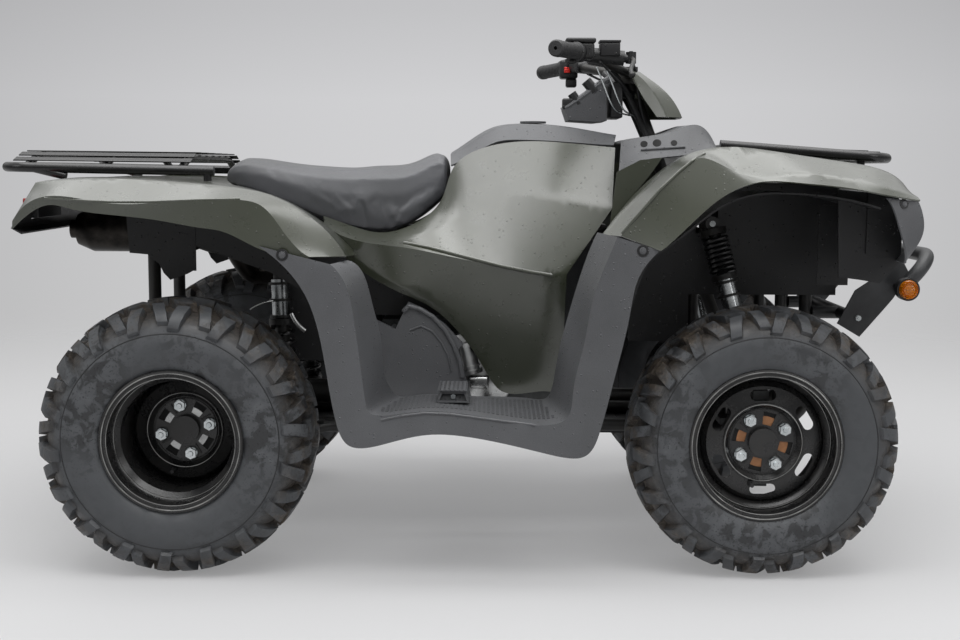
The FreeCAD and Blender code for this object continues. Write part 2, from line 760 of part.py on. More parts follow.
def stem_bearing(z):
    """A bearing ring round the steering axis with a bar to each side rail."""
    along = stem_axis() * bearing_length
    middle = stem_point(z)
    outer = rod(middle - along / 2, middle + along / 2, stem_dia + 2 * bearing_wall)
    bar = rod(V(middle.x, -frame_half, z), V(middle.x, frame_half, z), post_dia)
    hole = rod(middle - along, middle + along, stem_dia + 2 * clearance)
    return fused([outer, bar]).cut(hole)


def shock_mount(x_axle, head, side, rail_z):
    """A bracket from a side rail out to the head of a shock absorber."""
    x = x_axle + head[0]
    reach = head[1] - shock_eye_length / 2 - clearance
    low, high = sorted((side * frame_half, side * reach))
    half = post_dia / 2
    arm = box(x - half, x + half, low, high, head[2] - half, head[2] + half)
    y = side * frame_half
    post = box(x - half, x + half, y - half, y + half, rail_z, head[2] + half)
    return fused([arm, post])


def frame_side(side, seat, deck, floor, strip):
    """One side of the frame: the loop of tube, its posts, arm rails, mounts, pads and floorboard brackets."""
    y = side * frame_half
    low = frame_low_z
    loop = [
        V(at_rear(frame_tail), y, frame_tail_z),
        V(at_rear(frame_tail_bend), y, frame_seat_z),
        V(at_rear(seat_rail_end), y, frame_seat_z),
        V(at_rear(tank_rail_end), y, frame_seat_z + tank_rail_rise),
        V(at_front(front_post), y, frame_top_z),
        V(at_front(frame_nose), y, frame_top_z),
        V(at_front(frame_nose), y, low + rail_bend),
        V(at_front(frame_nose - rail_bend), y, low),
        V(at_rear(rear_foot), y, low),
        V(at_rear(rear_post), y, (low + frame_seat_z) / 2),
        V(at_rear(rear_post), y, frame_seat_z + rail_dia),
    ]
    pieces = [bent_tube(loop, rail_dia, rail_bend / 2)]
    posts = [
        (at_front(-front_foot_spread), frame_top_z),
        (at_front(front_foot_spread), frame_top_z),
        (at_rear(middle_post), frame_seat_z),
        (at_rear(rear_foot_front), arm_rail_z),
    ]
    for x, top in posts:
        pieces.append(rod(V(x, y, low), V(x, y, top), post_dia))
    bars = [
        (at_front(-front_foot_spread), at_front(frame_nose), arm_rail_z),
        (at_rear(rear_post), at_rear(rear_foot_front), arm_rail_z),
        (stem_x(lower_bearing_z), at_front(-front_foot_spread), lower_bearing_z),
    ]
    for x0, x1, z in bars:
        pieces.append(rod(V(x0, y, z), V(x1, y, z), post_dia))
    pieces.append(shock_mount(front_axle_x, front_shock_head, side, frame_top_z))
    pieces.append(shock_mount(rear_axle_x, rear_shock_head, side, frame_seat_z))
    for ahead in seat_pad_places:
        x = at_rear(ahead)
        top = bottom_at(seat, x, y, seat_pad_dia) - clearance
        pieces.append(rod(V(x, y, frame_seat_z), V(x, y, top), seat_pad_dia))
    x = at_rear(deck_pad_ahead)
    top = bottom_at(deck, x, y, post_dia) - clearance
    pieces.append(rod(V(x, y, frame_seat_z), V(x, y, top), post_dia))
    x = at_rear(strip_pad_ahead)
    foot = top_at(pieces[0], x, y, post_dia) - rail_dia / 2
    top = bottom_at(strip, x, y, post_dia) - clearance
    pieces.append(rod(V(x, y, foot), V(x, y, top), post_dia))
    for ahead in outrigger_places:
        x = at_rear(ahead)
        z = min(bottom_at(floor, x, reach, post_dia) for reach in (outrigger_inner, outrigger_outer))
        z -= post_dia / 2 + clearance
        knee = V(x, side * outrigger_inner, z)
        pieces.append(bent_tube([V(x, y, low), knee, V(x, side * outrigger_outer, z)], post_dia, rail_bend))
    return pieces


def make_frame(seat, deck, floor, strip):
    """Both sides of the frame with the cross tubes, engine mounts and steering bearings between them."""
    pieces = frame_side(-1, seat, deck, floor, strip) + frame_side(1, seat, deck, floor, strip)
    back = V(at_rear(rear_post), frame_half, arm_rail_z)
    pieces.append(rod(V(back.x, -back.y, back.z), back, post_dia))
    for ahead in low_cross_places:
        x = at_rear(ahead)
        pieces.append(rod(V(x, -frame_half, frame_low_z), V(x, frame_half, frame_low_z), post_dia))
    for ahead in seat_cross_places:
        x = at_rear(ahead)
        z = top_at(pieces[0], x, -frame_half, post_dia) - rail_dia / 2
        pieces.append(rod(V(x, -frame_half, z), V(x, frame_half, z), post_dia))
    for ahead in engine_mount_places:
        x = at_rear(ahead)
        half = engine_mount_size / 2
        pieces.append(box(x - half, x + half, -engine_mount_half, engine_mount_half, frame_low_z,
                          engine_low - clearance))
    pieces.append(stem_bearing(upper_bearing_z))
    pieces.append(stem_bearing(lower_bearing_z))
    frame = fused(pieces)
    save("frame", frame)
    return frame


# Engine: a plain mass with its crankcase cover and cylinder
engine_start = 420.0
engine_length = 430.0
engine_low = 290.0
engine_case_rise = 230.0
engine_half = 160.0
cylinder_start = 640.0
cylinder_length = 170.0
cylinder_half = 90.0
cylinder_rise = 160.0
crank_ahead = 640.0
crank_cover_dia = 190.0
crank_cover_y = 225.0
skid_start = 180.0
skid_length = 1190.0


def make_engine():
    """Crankcase, crank covers and cylinder."""
    x = at_rear(engine_start)
    top = engine_low + engine_case_rise
    case = box(x, x + engine_length, -engine_half, engine_half, engine_low, top)
    cylinder = box(at_rear(cylinder_start), at_rear(cylinder_start + cylinder_length), -cylinder_half, cylinder_half,
                   top, top + cylinder_rise)
    z = engine_low + engine_case_rise / 2
    x = at_rear(crank_ahead)
    cover = rod(V(x, -crank_cover_y, z), V(x, crank_cover_y, z), crank_cover_dia)
    save("engine", fused([case, cylinder, cover]))


def make_skid_plate():
    """The plate under the frame rails and engine."""
    z = frame_low_z - rail_dia / 2
    x = at_rear(skid_start)
    save("skid_plate", box(x, x + skid_length, -frame_half, frame_half, z - wall, z))


# Exhaust
muffler_dia = 104.0
muffler_start = -284.0
muffler_length = 300.0
muffler_y = 206.0
muffler_z = 735.0
muffler_end_taper = 0.7
muffler_taper_length = 36.0
pipe_dia = 42.0
pipe_bend = 45.0
pipe_drop = 112.0
pipe_turn = 30.0
pipe_low_share = 0.70
pipe_inner_y = 70.0


def make_exhaust():
    """The silencer outside the right seat rail, with its pipe under the rail to the cylinder."""
    y = -muffler_y
    back = V(at_rear(muffler_start), y, muffler_z)
    front = back + V(muffler_length, 0, 0)
    taper = V(muffler_taper_length, 0, 0)
    can = rod(back + taper, front - taper, muffler_dia)
    ends = [
        cone(back, back + taper, muffler_dia * muffler_end_taper, muffler_dia),
        cone(front - taper, front, muffler_dia, muffler_dia * muffler_end_taper),
    ]
    low = muffler_z - pipe_drop
    line = [
        front - taper,
        front + V(pipe_turn, 0, 0),
        V(front.x + pipe_turn + pipe_drop / 2, y * pipe_low_share, low),
        V(front.x + pipe_turn + pipe_drop * 2, -pipe_inner_y, low),
        V(at_rear(cylinder_start), -pipe_inner_y, low),
    ]
    pipe = bent_tube(line, pipe_dia, pipe_bend)
    tail = rod(back - taper / 2, back + taper, pipe_dia)
    save("exhaust", fused([can, pipe, tail] + ends))


# Final drives and half-shafts
front_drive_dia = 110.0
rear_drive_dia = 160.0
drive_half = 70.0
drive_rise = 22.0
shaft_dia = 26.0
boot_dia = 76.0
boot_end_dia = 64.0
boot_neck_dia = 32.0
boot_length = 85.0
cardan_dia = 32.0
torque_tube_dia = 60.0
boot_end_gap = 20.0
rear_reach = 338.0


def cone(start, end, dia_start, dia_end):
    """A tapered round piece between two points."""
    run = end - start
    return Part.makeCone(dia_start / 2, dia_end / 2, run.Length, start, run)


def final_drive(x, z, dia, reach):
    """A gear case with a half-shaft and its boots to each side."""
    high = z + drive_rise
    pieces = [rod(V(x, -drive_half, high), V(x, drive_half, high), dia)]
    for side in (-1, 1):
        near = V(x, side * drive_half, high)
        far = V(x, side * reach, z)
        out = (far - near).normalize()
        pieces.append(rod(near - out * boot_neck_dia, far, shaft_dia))
        pieces.append(cone(near, near + out * boot_length, boot_dia, boot_neck_dia))
        pieces.append(cone(far - out * boot_length, far, boot_neck_dia, boot_end_dia))
    return pieces


def make_final_drives():
    """Front and rear gear cases, each joined to the engine by its shaft."""
    front = final_drive(front_axle_x, front_axle_z, front_drive_dia, kingpin_y - boot_end_gap)
    z = front_axle_z + drive_rise
    front.append(rod(V(at_rear(engine_start + engine_length), 0, z), V(front_axle_x, 0, z), cardan_dia))
    save("front_drive", fused(front))
    rear = final_drive(rear_axle_x, rear_axle_z, rear_drive_dia, rear_reach - boot_end_gap)
    z = rear_axle_z + drive_rise
    rear.append(rod(V(rear_axle_x, 0, z), V(at_rear(engine_start), 0, z), torque_tube_dia))
    save("rear_drive", fused(rear))


# Suspension arms: two legs from sleeves beside the frame out to a ball joint
arm_dia = 22.0
sleeve_dia = 30.0
sleeve_length = 44.0
lower_arm_drop = 70.0
upper_arm_rise = 72.0
ball_dia = 34.0
ball_half = 18.0
shock_eye_dia = 34.0
shock_body_dia = 44.0
shock_rod_dia = 26.0
spring_dia = 62.0
spring_start_share = 0.34
spring_end_share = 0.84
front_shock_seat_share = 0.50
rear_shock_seat_share = 0.34


def arm_foot(x, side, z, beside):
    """The middle of a sleeve that seats against a side tube of the frame."""
    return V(x, side * (frame_half + beside / 2 + clearance + sleeve_dia / 2), z)


def wishbone(x, side, tip, z_inner, beside, spreads, seat_share):
    """A two-legged arm with its sleeves and ball joint, and a cross tube for the shock where it has one."""
    pieces = []
    seats = []
    for spread in spreads:
        foot = arm_foot(x + spread, side, z_inner, beside)
        half = V(sleeve_length / 2, 0, 0)
        pieces.append(rod(foot - half, foot + half, sleeve_dia))
        pieces.append(rod(foot, tip, arm_dia))
        seats.append(foot + (tip - foot) * seat_share)
    if seat_share:
        pieces.append(rod(seats[0], seats[1], arm_dia))
    up = V(0, 0, ball_half)
    pieces.append(rod(tip - up, tip + up, ball_dia))
    return fused(pieces)


def front_tips(side):
    """The lower and upper ball joints of a front corner."""
    y = side * kingpin_y
    low = V(front_axle_x, y, front_axle_z - lower_arm_drop)
    return low, V(front_axle_x, y, front_axle_z + upper_arm_rise)


def rear_tips(side):
    """The lower and upper outer pivots of a rear corner."""
    y = side * rear_reach
    return V(rear_axle_x, y, rear_axle_z - lower_arm_drop), V(rear_axle_x, y, rear_axle_z + upper_arm_rise)


def make_arms():
    """Upper and lower arms at the four corners."""
    front = []
    rear = []
    even = (-front_foot_spread, front_foot_spread)
    for side in (-1, 1):
        low, high = front_tips(side)
        front.append(wishbone(front_axle_x, side, low, frame_low_z, rail_dia, even, 0))
        front.append(wishbone(front_axle_x, side, high, arm_rail_z, post_dia, even, front_shock_seat_share))
        low, high = rear_tips(side)
        rear.append(wishbone(rear_axle_x, side, low, frame_low_z, rail_dia, (rear_foot_back, rear_leg_front), 0))
        rear.append(wishbone(rear_axle_x, side, high, arm_rail_z, post_dia, (rear_foot_back, rear_foot_front), 0))
    save("front_arms", Part.makeCompound(front))
    save("rear_arms", Part.makeCompound(rear))


def shock(foot, head):
    """A damper body with its spring above, between an eye at each end."""
    run = head - foot
    low = foot + run * spring_start_share
    high = foot + run * spring_end_share
    half = V(0, shock_eye_length / 2, 0)
    return fused([
        rod(foot, low, shock_body_dia),
        rod(low, high, spring_dia),
        rod(high, head, shock_rod_dia),
        rod(foot - half, foot + half, shock_eye_dia),
        rod(head - half, head + half, shock_eye_dia),
    ])


def make_shocks():
    """Four shock absorbers, each from its arm up to its mount on the frame."""
    lift = V(0, 0, arm_dia / 2 + shock_eye_dia / 2 + clearance)
    front = []
    rear = []
    for side in (-1, 1):
        tip = front_tips(side)[1]
        inner = arm_foot(front_axle_x, side, arm_rail_z, post_dia)
        foot = inner + (tip - inner) * front_shock_seat_share + lift
        head = V(front_axle_x + front_shock_head[0], side * front_shock_head[1], front_shock_head[2])
        front.append(shock(foot, head))
        tip = rear_tips(side)[0]
        inner = arm_foot(rear_axle_x + rear_leg_front, side, frame_low_z, rail_dia)
        foot = inner + (tip - inner) * rear_shock_seat_share + lift
        head = V(rear_axle_x + rear_shock_head[0], side * rear_shock_head[1], rear_shock_head[2])
        rear.append(shock(foot, head))
    save("front_shocks", Part.makeCompound(front))
    save("rear_shocks", Part.makeCompound(rear))


# Hub carriers: the rear ones are fixed, the front ones turn on their kingpins
carrier_dia = 96.0
carrier_out = 12.0
carrier_lug = 16.0
brake_dia = 176.0
brake_depth = 26.0
steer_arm_width = 26.0
steer_arm_thick = 14.0
front_post_width = 34.0
rear_post_width = 22.0


def carrier(low, high, y_inner, y_outer, post_width, z):
    """A hub carrier on the right side: a drum and brake, with lugs over and under its ball joints."""
    x = low.x
    half = ball_dia / 2
    drum = rod(V(x, -y_outer, z), V(x, -y_inner, z), carrier_dia)
    brake = rod(V(x, -y_outer, z), V(x, -y_outer + brake_depth, z), brake_dia)
    top = high.z + ball_half + clearance
    bottom = low.z - ball_half - clearance
    post_y = -y_inner - carrier_out
    upper = box(x - half, x + half, post_y, high.y + half, top, top + carrier_lug)
    lower = box(x - half, x + half, post_y, low.y + half, bottom - carrier_lug, bottom)
    post = box(x - half, x + half, post_y - post_width, post_y, bottom - carrier_lug, top + carrier_lug)
    return fused([drum, brake, upper, lower, post])


def make_knuckles():
    """Front knuckles with their steering arms, and the rear hub carriers."""
    low, high = front_tips(-1)
    y_in = kingpin_y + boot_end_gap
    y_out = front_wheel_y + front_rim_width / 2 - front_face_recess - rim_wall - clearance
    body = carrier(low, high, y_in, y_out, front_post_width, front_axle_z)
    z = front_axle_z + steer_arm_rise
    edge = steer_arm_width / 2
    arm = box(front_axle_x - steer_arm - edge, front_axle_x - steer_arm + edge, -y_in - carrier_out,
              -kingpin_y + edge, z - steer_arm_thick, z)
    link = box(front_axle_x - steer_arm - edge, front_axle_x, -y_in - carrier_out - front_post_width,
               -y_in - carrier_out / 2, z - steer_arm_thick, z)
    right = fused([body, arm, link])
    save("knuckle_right", right)
    save("knuckle_left", mirrored(right))
    low, high = rear_tips(-1)
    rear_out = rear_wheel_y + rear_rim_width / 2 - rear_face_recess - rim_wall - clearance
    rear = carrier(low, high, rear_reach + boot_end_gap, rear_out, rear_post_width, rear_axle_z)
    save("hub_carriers", Part.makeCompound([rear, mirrored(rear)]))


# Tie rods, from the knuckle's arm to the pitman arm
tie_rod_dia = 14.0
tie_end_dia = 26.0
tie_end_rise = 18.0
pitman_slack = 10.0
pitman_half = 34.0
pitman_thick = 12.0
pitman_width = 34.0


def pitman_pin(side):
    """Where a tie rod meets the pitman arm, straight ahead."""
    lean = math.radians(stem_angle_deg)
    arm = V(-steer_arm * math.cos(lean), side * pitman_half, -steer_arm * math.sin(lean))
    return stem_point(stem_foot_z) + arm


def make_tie_rods():
    """One rod a side, with an end ring over each pin."""
    for name, side in (("right", -1), ("left", 1)):
        up = V(0, 0, tie_end_rise / 2)
        outer = V(front_axle_x - steer_arm, side * kingpin_y, front_axle_z + steer_arm_rise + clearance) + up
        inner = pitman_pin(side) - V(0, 0, pitman_slack) - up
        pieces = [
            rod(outer, inner, tie_rod_dia),
            rod(outer - up, outer + up, tie_end_dia),
            rod(inner - up, inner + up, tie_end_dia),
        ]
        save("tie_rod_" + name, fused(pieces))


# Steering stem, handlebar and what is on it
clamp_width = 70.0
clamp_depth = 44.0
clamp_rise = 40.0
bar_dia = 22.0
bar_bend = 42.0
bar_points = ((-190.0, 375.0, 1140.0), (-116.0, 199.0, 1144.0), (-50.0, 110.0, 1124.0), (0.0, 52.0, 1108.0))
grip_dia = 34.0
grip_length = 128.0
flange_dia = 40.0
flange_length = 6.0


def bar_place(point, side):
    """A point of the handlebar: distance ahead of the clamp, half span and height."""
    ahead, half, z = point
    return V(at_rear(stem_top_ahead) + ahead, side * half, z)


def make_steering():
    """The stem with its pitman arm, the clamp, the bar and its grips."""
    top = stem_point(stem_top_z)
    foot = stem_point(stem_foot_z)
    axis = stem_axis()
    stem = rod(foot, top, stem_dia)
    clamp = box(-clamp_depth / 2, clamp_depth / 2, -clamp_width / 2, clamp_width / 2, -clamp_rise / 2,
                clamp_rise / 2)
    clamp.translate(top)
    half = pitman_half + tie_end_dia / 2
    arm = box(-pitman_width / 2, steer_arm + pitman_width / 2, -half, half, 0, pitman_thick)
    arm.rotate(V(0, 0, 0), V(0, 1, 0), 180 - stem_angle_deg)
    arm.translate(foot + axis * pitman_thick)
    line = [bar_place(p, -1) for p in bar_points] + [bar_place(p, 1) for p in reversed(bar_points)]
    handlebar = bent_tube(line, bar_dia, bar_bend)
    save("handlebar", handlebar)
    save("stem", fused([stem, clamp, arm]).cut(handlebar))
    grips = []
    for side in (-1, 1):
        end = bar_place(bar_points[0], side)
        inward = (bar_place(bar_points[1], side) - end).normalize()
        sleeve = rod(end - inward * flange_length, end + inward * grip_length, grip_dia)
        flange = rod(end + inward * (grip_length - flange_length), end + inward * grip_length, flange_dia)
        bore = rod(end, end + inward * (grip_length + overrun), bar_dia)
        grips.append(fused([sleeve, flange]).cut(bore))
    save("grips", Part.makeCompound(grips))


housing_dia = 44.0
housing_length = 46.0
housing_gap = 1.0
reservoir_size = 46.0
reservoir_rise = 30.0
reservoir_ahead = 15.0
lever_dia = 12.0
lever_reach = 150.0
lever_gap = 48.0
perch_dia = 24.0


def make_controls():
    """A housing beside each grip with its reservoir and brake lever."""
    pieces = []
    for side in (-1, 1):
        end = bar_place(bar_points[0], side)
        inward = (bar_place(bar_points[1], side) - end).normalize()
        start = end + inward * (grip_length + housing_gap)
        finish = start + inward * housing_length
        middle = (start + finish) / 2
        half = reservoir_size / 2
        block = box(-half, half, -half, half, 0, reservoir_rise)
        block.translate(middle + V(reservoir_ahead, 0, bar_dia / 2))
        pivot = middle + V(lever_gap, 0, 0)
        piece = fused([
            rod(start, finish, housing_dia),
            block,
            rod(middle, pivot + V(lever_dia, 0, 0), perch_dia),
            rod(pivot, pivot - inward * lever_reach, lever_dia),
        ])
        pieces.append(piece.cut(rod(start - inward * overrun, finish + inward * overrun, bar_dia)))
    save("controls", Part.makeCompound(pieces))


# Meter pod and cowl: shares of length and height, with half widths at the top and bottom
pod_start = 853.0
pod_length = 102.0
pod_low = 992.0
pod_rise = 101.0
pod_half = 80.0
pod_shares = [(0.0, 0.33), (0.10, 0.04), (0.75, 0.0), (1.0, 0.03), (0.96, 1.0), (0.85, 1.0), (0.44, 0.61)]
pod_bracket_share = 0.9
pod_bracket_half = 20.0
pod_bracket_thick = 14.0
cowl_start = 1008.0
cowl_length = 137.0
cowl_low = 1004.0
cowl_rise = 112.0
cowl_half = 95.0
cowl_shares = [
    [(0.07, 1.0, 0.80), (0.20, 1.0, 0.47), (0.34, 1.0, 0.22), (0.47, 1.0, 0.0)],
    [(0.0, 0.90, 1.0), (0.30, 0.90, 0.70), (0.48, 0.90, 0.40), (0.66, 0.90, 0.0)],
    [(0.20, 0.53, 0.97), (0.46, 0.53, 0.75), (0.70, 0.53, 0.50), (0.96, 0.53, 0.0)],
    [(0.26, 0.0, 0.98), (0.50, 0.0, 0.77), (0.74, 0.0, 0.52), (1.0, 0.0, 0.0)],
]
cowl_strut_share = 0.45
cowl_strut_z = 1062.0
cowl_strut_half = 24.0
cowl_strut_thick = 12.0


def make_pod_and_cowl():
    """The meter pod behind the stem and the cowl ahead of it, each on its bracket."""
    outline = [(at_rear(pod_start) + u * pod_length, pod_low + w * pod_rise) for u, w in pod_shares]
    pod = side_plate(outline, -pod_half, pod_half)
    top = pod_low + pod_rise
    face = at_rear(stem_top_ahead) - clamp_depth / 2 - clearance
    bracket = box(at_rear(pod_start) + pod_length * pod_bracket_share, face, -pod_bracket_half, pod_bracket_half,
                  top - pod_bracket_thick, top)
    save("meter_pod", fused([pod, bracket]))
    rails = rails_from(spanned(cowl_shares), at_rear(cowl_start), cowl_length, cowl_half,
                       cowl_low, cowl_rise, 1)
    shell = skin(rails, wall)
    z = cowl_strut_z
    strut = box(stem_x(z), at_rear(cowl_start) + cowl_length, -cowl_strut_half, cowl_strut_half,
                z - cowl_strut_thick, z)
    strut = strut.cut(rod(stem_point(stem_foot_z), stem_point(stem_top_z), stem_dia + 2 * clearance))
    ahead = max(strut.cut(shell).Solids, key=lambda solid: solid.BoundBox.XMax)
    save("cowl", fused([shell, strut.cut(ahead)]))


# Racks: side rails and an end tube in one bent tube, with cross tubes and bars between
rack_dia = 22.0
rack_bar_dia = 14.0
rack_cross_dia = 17.0
rack_bend = 60.0
rack_turn = 14.0
rack_half = 330.0
front_rack_open = -82.0
front_rack_closed = 303.0
front_rack_open_z = 934.0
front_rack_closed_z = 906.0
rear_rack_open = 58.0
rear_rack_closed = -422.0
rear_rack_open_z = 871.0
rear_rack_closed_z = 879.0
rear_rack_crown = 28.0
crown_share = 0.72
rack_bar_shares = (-0.66, -0.33, 0.0, 0.33, 0.66)
front_cross_shares = (0.12, 0.5, 0.86)
rear_cross_shares = (0.16, 0.52, 0.88)
rack_leg_dia = 18.0
front_leg_shares = ((0.12, 0.12, 0.8), (0.86, 0.86, 0.8))
rear_leg_shares = ((0.03, 0.03, 1.0), (0.86, 0.69, 1.0))


def rack(x_open, x_closed, z_open, z_closed, crown, cross_shares, leg_shares, panels):
    """A carrying rack: open at one end, with legs down to the panels below it."""
    def spot(u, v):
        lift = crown * min(1, (1 - abs(v)) / (1 - crown_share))
        return V(x_open + u * (x_closed - x_open), v * rack_half, z_open + u * (z_closed - z_open) + lift)

    end_share = 1 - rack_dia / abs(x_closed - x_open)
    pieces = [bent_tube([spot(0, -1), spot(1, -1), spot(1, 1), spot(0, 1)], rack_dia, rack_bend)]
    for u in cross_shares:
        if crown:
            line = [spot(u, v) for v in (-1, -crown_share, crown_share, 1)]
            pieces.append(bent_tube(line, rack_cross_dia, rack_bend))
        else:
            pieces.append(rod(spot(u, -1), spot(u, 1), rack_cross_dia))
    last = cross_shares[-1] if crown else end_share
    for v in rack_bar_shares:
        pieces.append(rod(spot(cross_shares[0], v), spot(last, v), rack_bar_dia))
    for u, u_foot, v in leg_shares:
        for side in (-1, 1):
            top = spot(u, side * v)
            foot = spot(u_foot, side * v)
            lean = 0 if u == u_foot else rack_leg_dia / 2
            foot.z = rest_height(panels, foot.x, foot.y, rack_leg_dia) + clearance + lean
            pieces.append(rod(foot, top, rack_leg_dia))
    return fused(pieces)


def make_racks(front_panels, rear_panels):
    """The front and rear carrying racks."""
    save("front_rack", rack(at_front(front_rack_open), at_front(front_rack_closed), front_rack_open_z,
                            front_rack_closed_z, 0, front_cross_shares, front_leg_shares,
                            front_panels))
    save("rear_rack", rack(at_rear(rear_rack_open), at_rear(rear_rack_closed), rear_rack_open_z,
                           rear_rack_closed_z, rear_rack_crown, rear_cross_shares, rear_leg_shares, rear_panels))


# Bumper: a tube hoop on two plates
hoop_dia = 34.0
hoop_bend = 60.0
hoop_half = 233.0
hoop_top_z = 682.0
hoop_foot = (371.0, 615.0)
plate_thick = 6.0
plate_start = 216.0
plate_length = 163.0
plate_low = 494.0
plate_rise = 180.0
bumper_plate_shares = [(0.0, 0.17), (0.32, 0.0), (0.70, 0.41), (0.78, 0.50), (1.0, 0.82), (0.89, 1.0),
                       (0.24, 0.60),
                       (0.10, 0.35)]
bumper_beam_dia = 30.0
beam_ahead = 249.0
beam_z = 540.0


def make_bumper():
    """The hoop, its plates and the beam that ties them to the frame."""
    front = at_front(front_overhang - hoop_dia / 2)
    foot_x = at_front(hoop_foot[0])
    line = [
        V(foot_x, -hoop_half, hoop_foot[1]),
        V(front, -hoop_half, hoop_top_z),
        V(front, hoop_half, hoop_top_z),
        V(foot_x, hoop_half, hoop_foot[1]),
    ]
    pieces = [bent_tube(line, hoop_dia, hoop_bend)]
    x = at_front(plate_start)
    outline = [(x + u * plate_length, plate_low + w * plate_rise) for u, w in bumper_plate_shares]
    x = at_front(beam_ahead)
    pieces.append(rod(V(x, -hoop_half, beam_z), V(x, hoop_half, beam_z), bumper_beam_dia))
    near = at_front(frame_nose) + rail_dia / 2 + clearance
    for side in (-1, 1):
        middle = side * hoop_half
        pieces.append(side_plate(outline, middle - plate_thick / 2, middle + plate_thick / 2))
        y = side * frame_half
        pieces.append(rod(V(near, y, beam_z), V(x, y, beam_z), bumper_beam_dia))
    save("bumper", fused(pieces))


# Lamps
turn_lamp_dia = 52.0
turn_lamp_depth = 34.0
turn_lamp_ahead = 352.0
turn_lamp_z = 612.0
turn_lamp_y = 330.0
lamp_stalk_dia = 20.0
headlight_start = 236.0
headlight_length = 82.0
headlight_low = 748.0
headlight_rise = 68.0
headlight_outer = 428.0
headlight_shares = [(0.0, 0.0), (0.78, 0.0), (1.0, 0.52), (0.86, 1.0), (0.0, 1.0)]
tail_lamp_start = -332.0
tail_lamp_depth = 34.0
tail_lamp_low = 768.0
tail_lamp_rise = 44.0
tail_lamp_inner = 290.0
tail_lamp_outer = 450.0


def make_turn_lamps():
    """A round lamp on a stalk from each bumper plate."""
    lamps = []
    for side in (-1, 1):
        face = V(at_front(turn_lamp_ahead), side * turn_lamp_y, turn_lamp_z)
        out = V(0, side, 0)
        plate = V(face.x, side * (hoop_half + plate_thick / 2 + clearance), face.z)
        lamps.append(fused([
            rod(face - out * turn_lamp_depth, face, turn_lamp_dia),
            rod(plate, face - out * turn_lamp_depth, lamp_stalk_dia),
        ]))
    save("turn_lamps", Part.makeCompound(lamps))


def make_headlights():
    """A lamp block in each front corner, under the edge of the wing."""
    outline = [
        (at_front(headlight_start) + u * headlight_length, headlight_low + w * headlight_rise)
        for u, w in headlight_shares
    ]
    left = side_plate(outline, fascia_half + clearance, headlight_outer)
    save("headlights", Part.makeCompound([mirrored(left), left]))


def tail_lamp_blocks(grown):
    """Both tail lamps, grown all round by so much."""
    x = at_rear(tail_lamp_start)
    left = box(x - grown, x + tail_lamp_depth + grown, tail_lamp_inner - grown, tail_lamp_outer + grown,
               tail_lamp_low - grown, tail_lamp_low + tail_lamp_rise + grown)
    return Part.makeCompound([mirrored(left), left])


# Fascia: the nose between the headlights, with a slotted grille
fascia_half = 250.0
fascia_rails = ((298.0, 811.0), (310.0, 780.0), (294.0, 700.0), (256.0, 640.0))
grille_slots = 5
grille_half = 170.0
grille_low = 668.0
grille_pitch = 20.0
grille_slot_rise = 9.0
fascia_stay_z = 655.0


def make_fascia():
    """The nose panel with its grille slots, and a stay back to each front corner of the frame."""
    rails = [
        [V(at_front(ahead), v * fascia_half, z) for v in (1, 0, -1)]
        for ahead, z in fascia_rails
    ]
    panel = skin(rails, wall)
    x = at_front(frame_nose)
    for k in range(grille_slots):
        z = grille_low + k * grille_pitch
        panel = panel.cut(box(x, x + front_overhang, -grille_half, grille_half, z, z + grille_slot_rise))
    stays = []
    for side in (-1, 1):
        y = side * frame_half
        near = at_front(frame_nose) + rail_dia / 2 + clearance
        stay = box(near, at_front(fascia_rails[2][0]) - wall / 2, y - post_dia / 2, y + post_dia / 2,
                   fascia_stay_z - post_dia / 2, fascia_stay_z + post_dia / 2)
        stays.append(stay)
    save("fascia", fused([panel] + stays))


# Inner liners: the black walls inside the front arches
liner_y_inner = 260.0
liner_y_outer = 535.0
liner_line = [
    (935.0, 440.0), (955.0, 525.0), (985.0, 640.0), (1012.0, 692.0), (1050.0, 722.0), (1108.0, 768.0),
    (1160.0, 806.0),
    (1225.0, 829.0), (1310.0, 832.0), (1410.0, 822.0), (1490.0, 802.0),
]
liner_low_count = 4
liner_wall_ahead = (1008.0, 1500.0)
liner_wall_z = (583.0, 845.0)
liner_apron_ahead = 1150.0
liner_apron_z = 470.0
cheek_y = 433.0
cheek_line = [
    (1424.0, 838.0), (1490.0, 832.0), (1524.0, 825.0), (1541.0, 799.0), (1557.0, 762.0), (1564.0, 719.0),
    (1562.0, 682.0), (1520.0, 636.0), (1479.0, 643.0), (1431.0, 649.0),
]


def make_inner_liners():
    """A curved liner over each front wheel, with a wall beside the frame that it hangs from."""
    beside = frame_half + rail_dia / 2 + clearance
    outer = [V(at_rear(x), liner_y_outer, z) for x, z in liner_line]
    low = [V(at_rear(x), beside, z) for x, z in liner_line[:liner_low_count]]
    mid = [V(at_rear(x), liner_y_inner, z) for x, z in liner_line]
    arch = skin([outer, mid], wall)
    back = skin([[V(p.x, liner_y_inner, p.z) for p in low], low], wall)
    x0, x1 = liner_wall_ahead
    z0, z1 = liner_wall_z
    side = box(at_rear(x0), at_rear(x1), beside, beside + wall, z0, z1)
    head = front_axle_x + front_shock_head[0]
    notch = box(head - post_dia, head + post_dia, beside - wall, beside + 2 * wall,
                front_shock_head[2] - post_dia, z1)
    shelf = box(at_rear(x0), at_rear(x0) + wall, beside, liner_y_inner + wall,
                z0, liner_line[liner_low_count][1])
    apron = box(at_rear(x0), at_rear(liner_apron_ahead), beside, beside + wall, liner_apron_z, z0)
    cheek = side_plate([(at_rear(x), z) for x, z in cheek_line], cheek_y, cheek_y + wall)
    left = fused([arch, back, side.cut(notch), apron, shelf, cheek])
    save("inner_liners", Part.makeCompound([mirrored(left), left]))


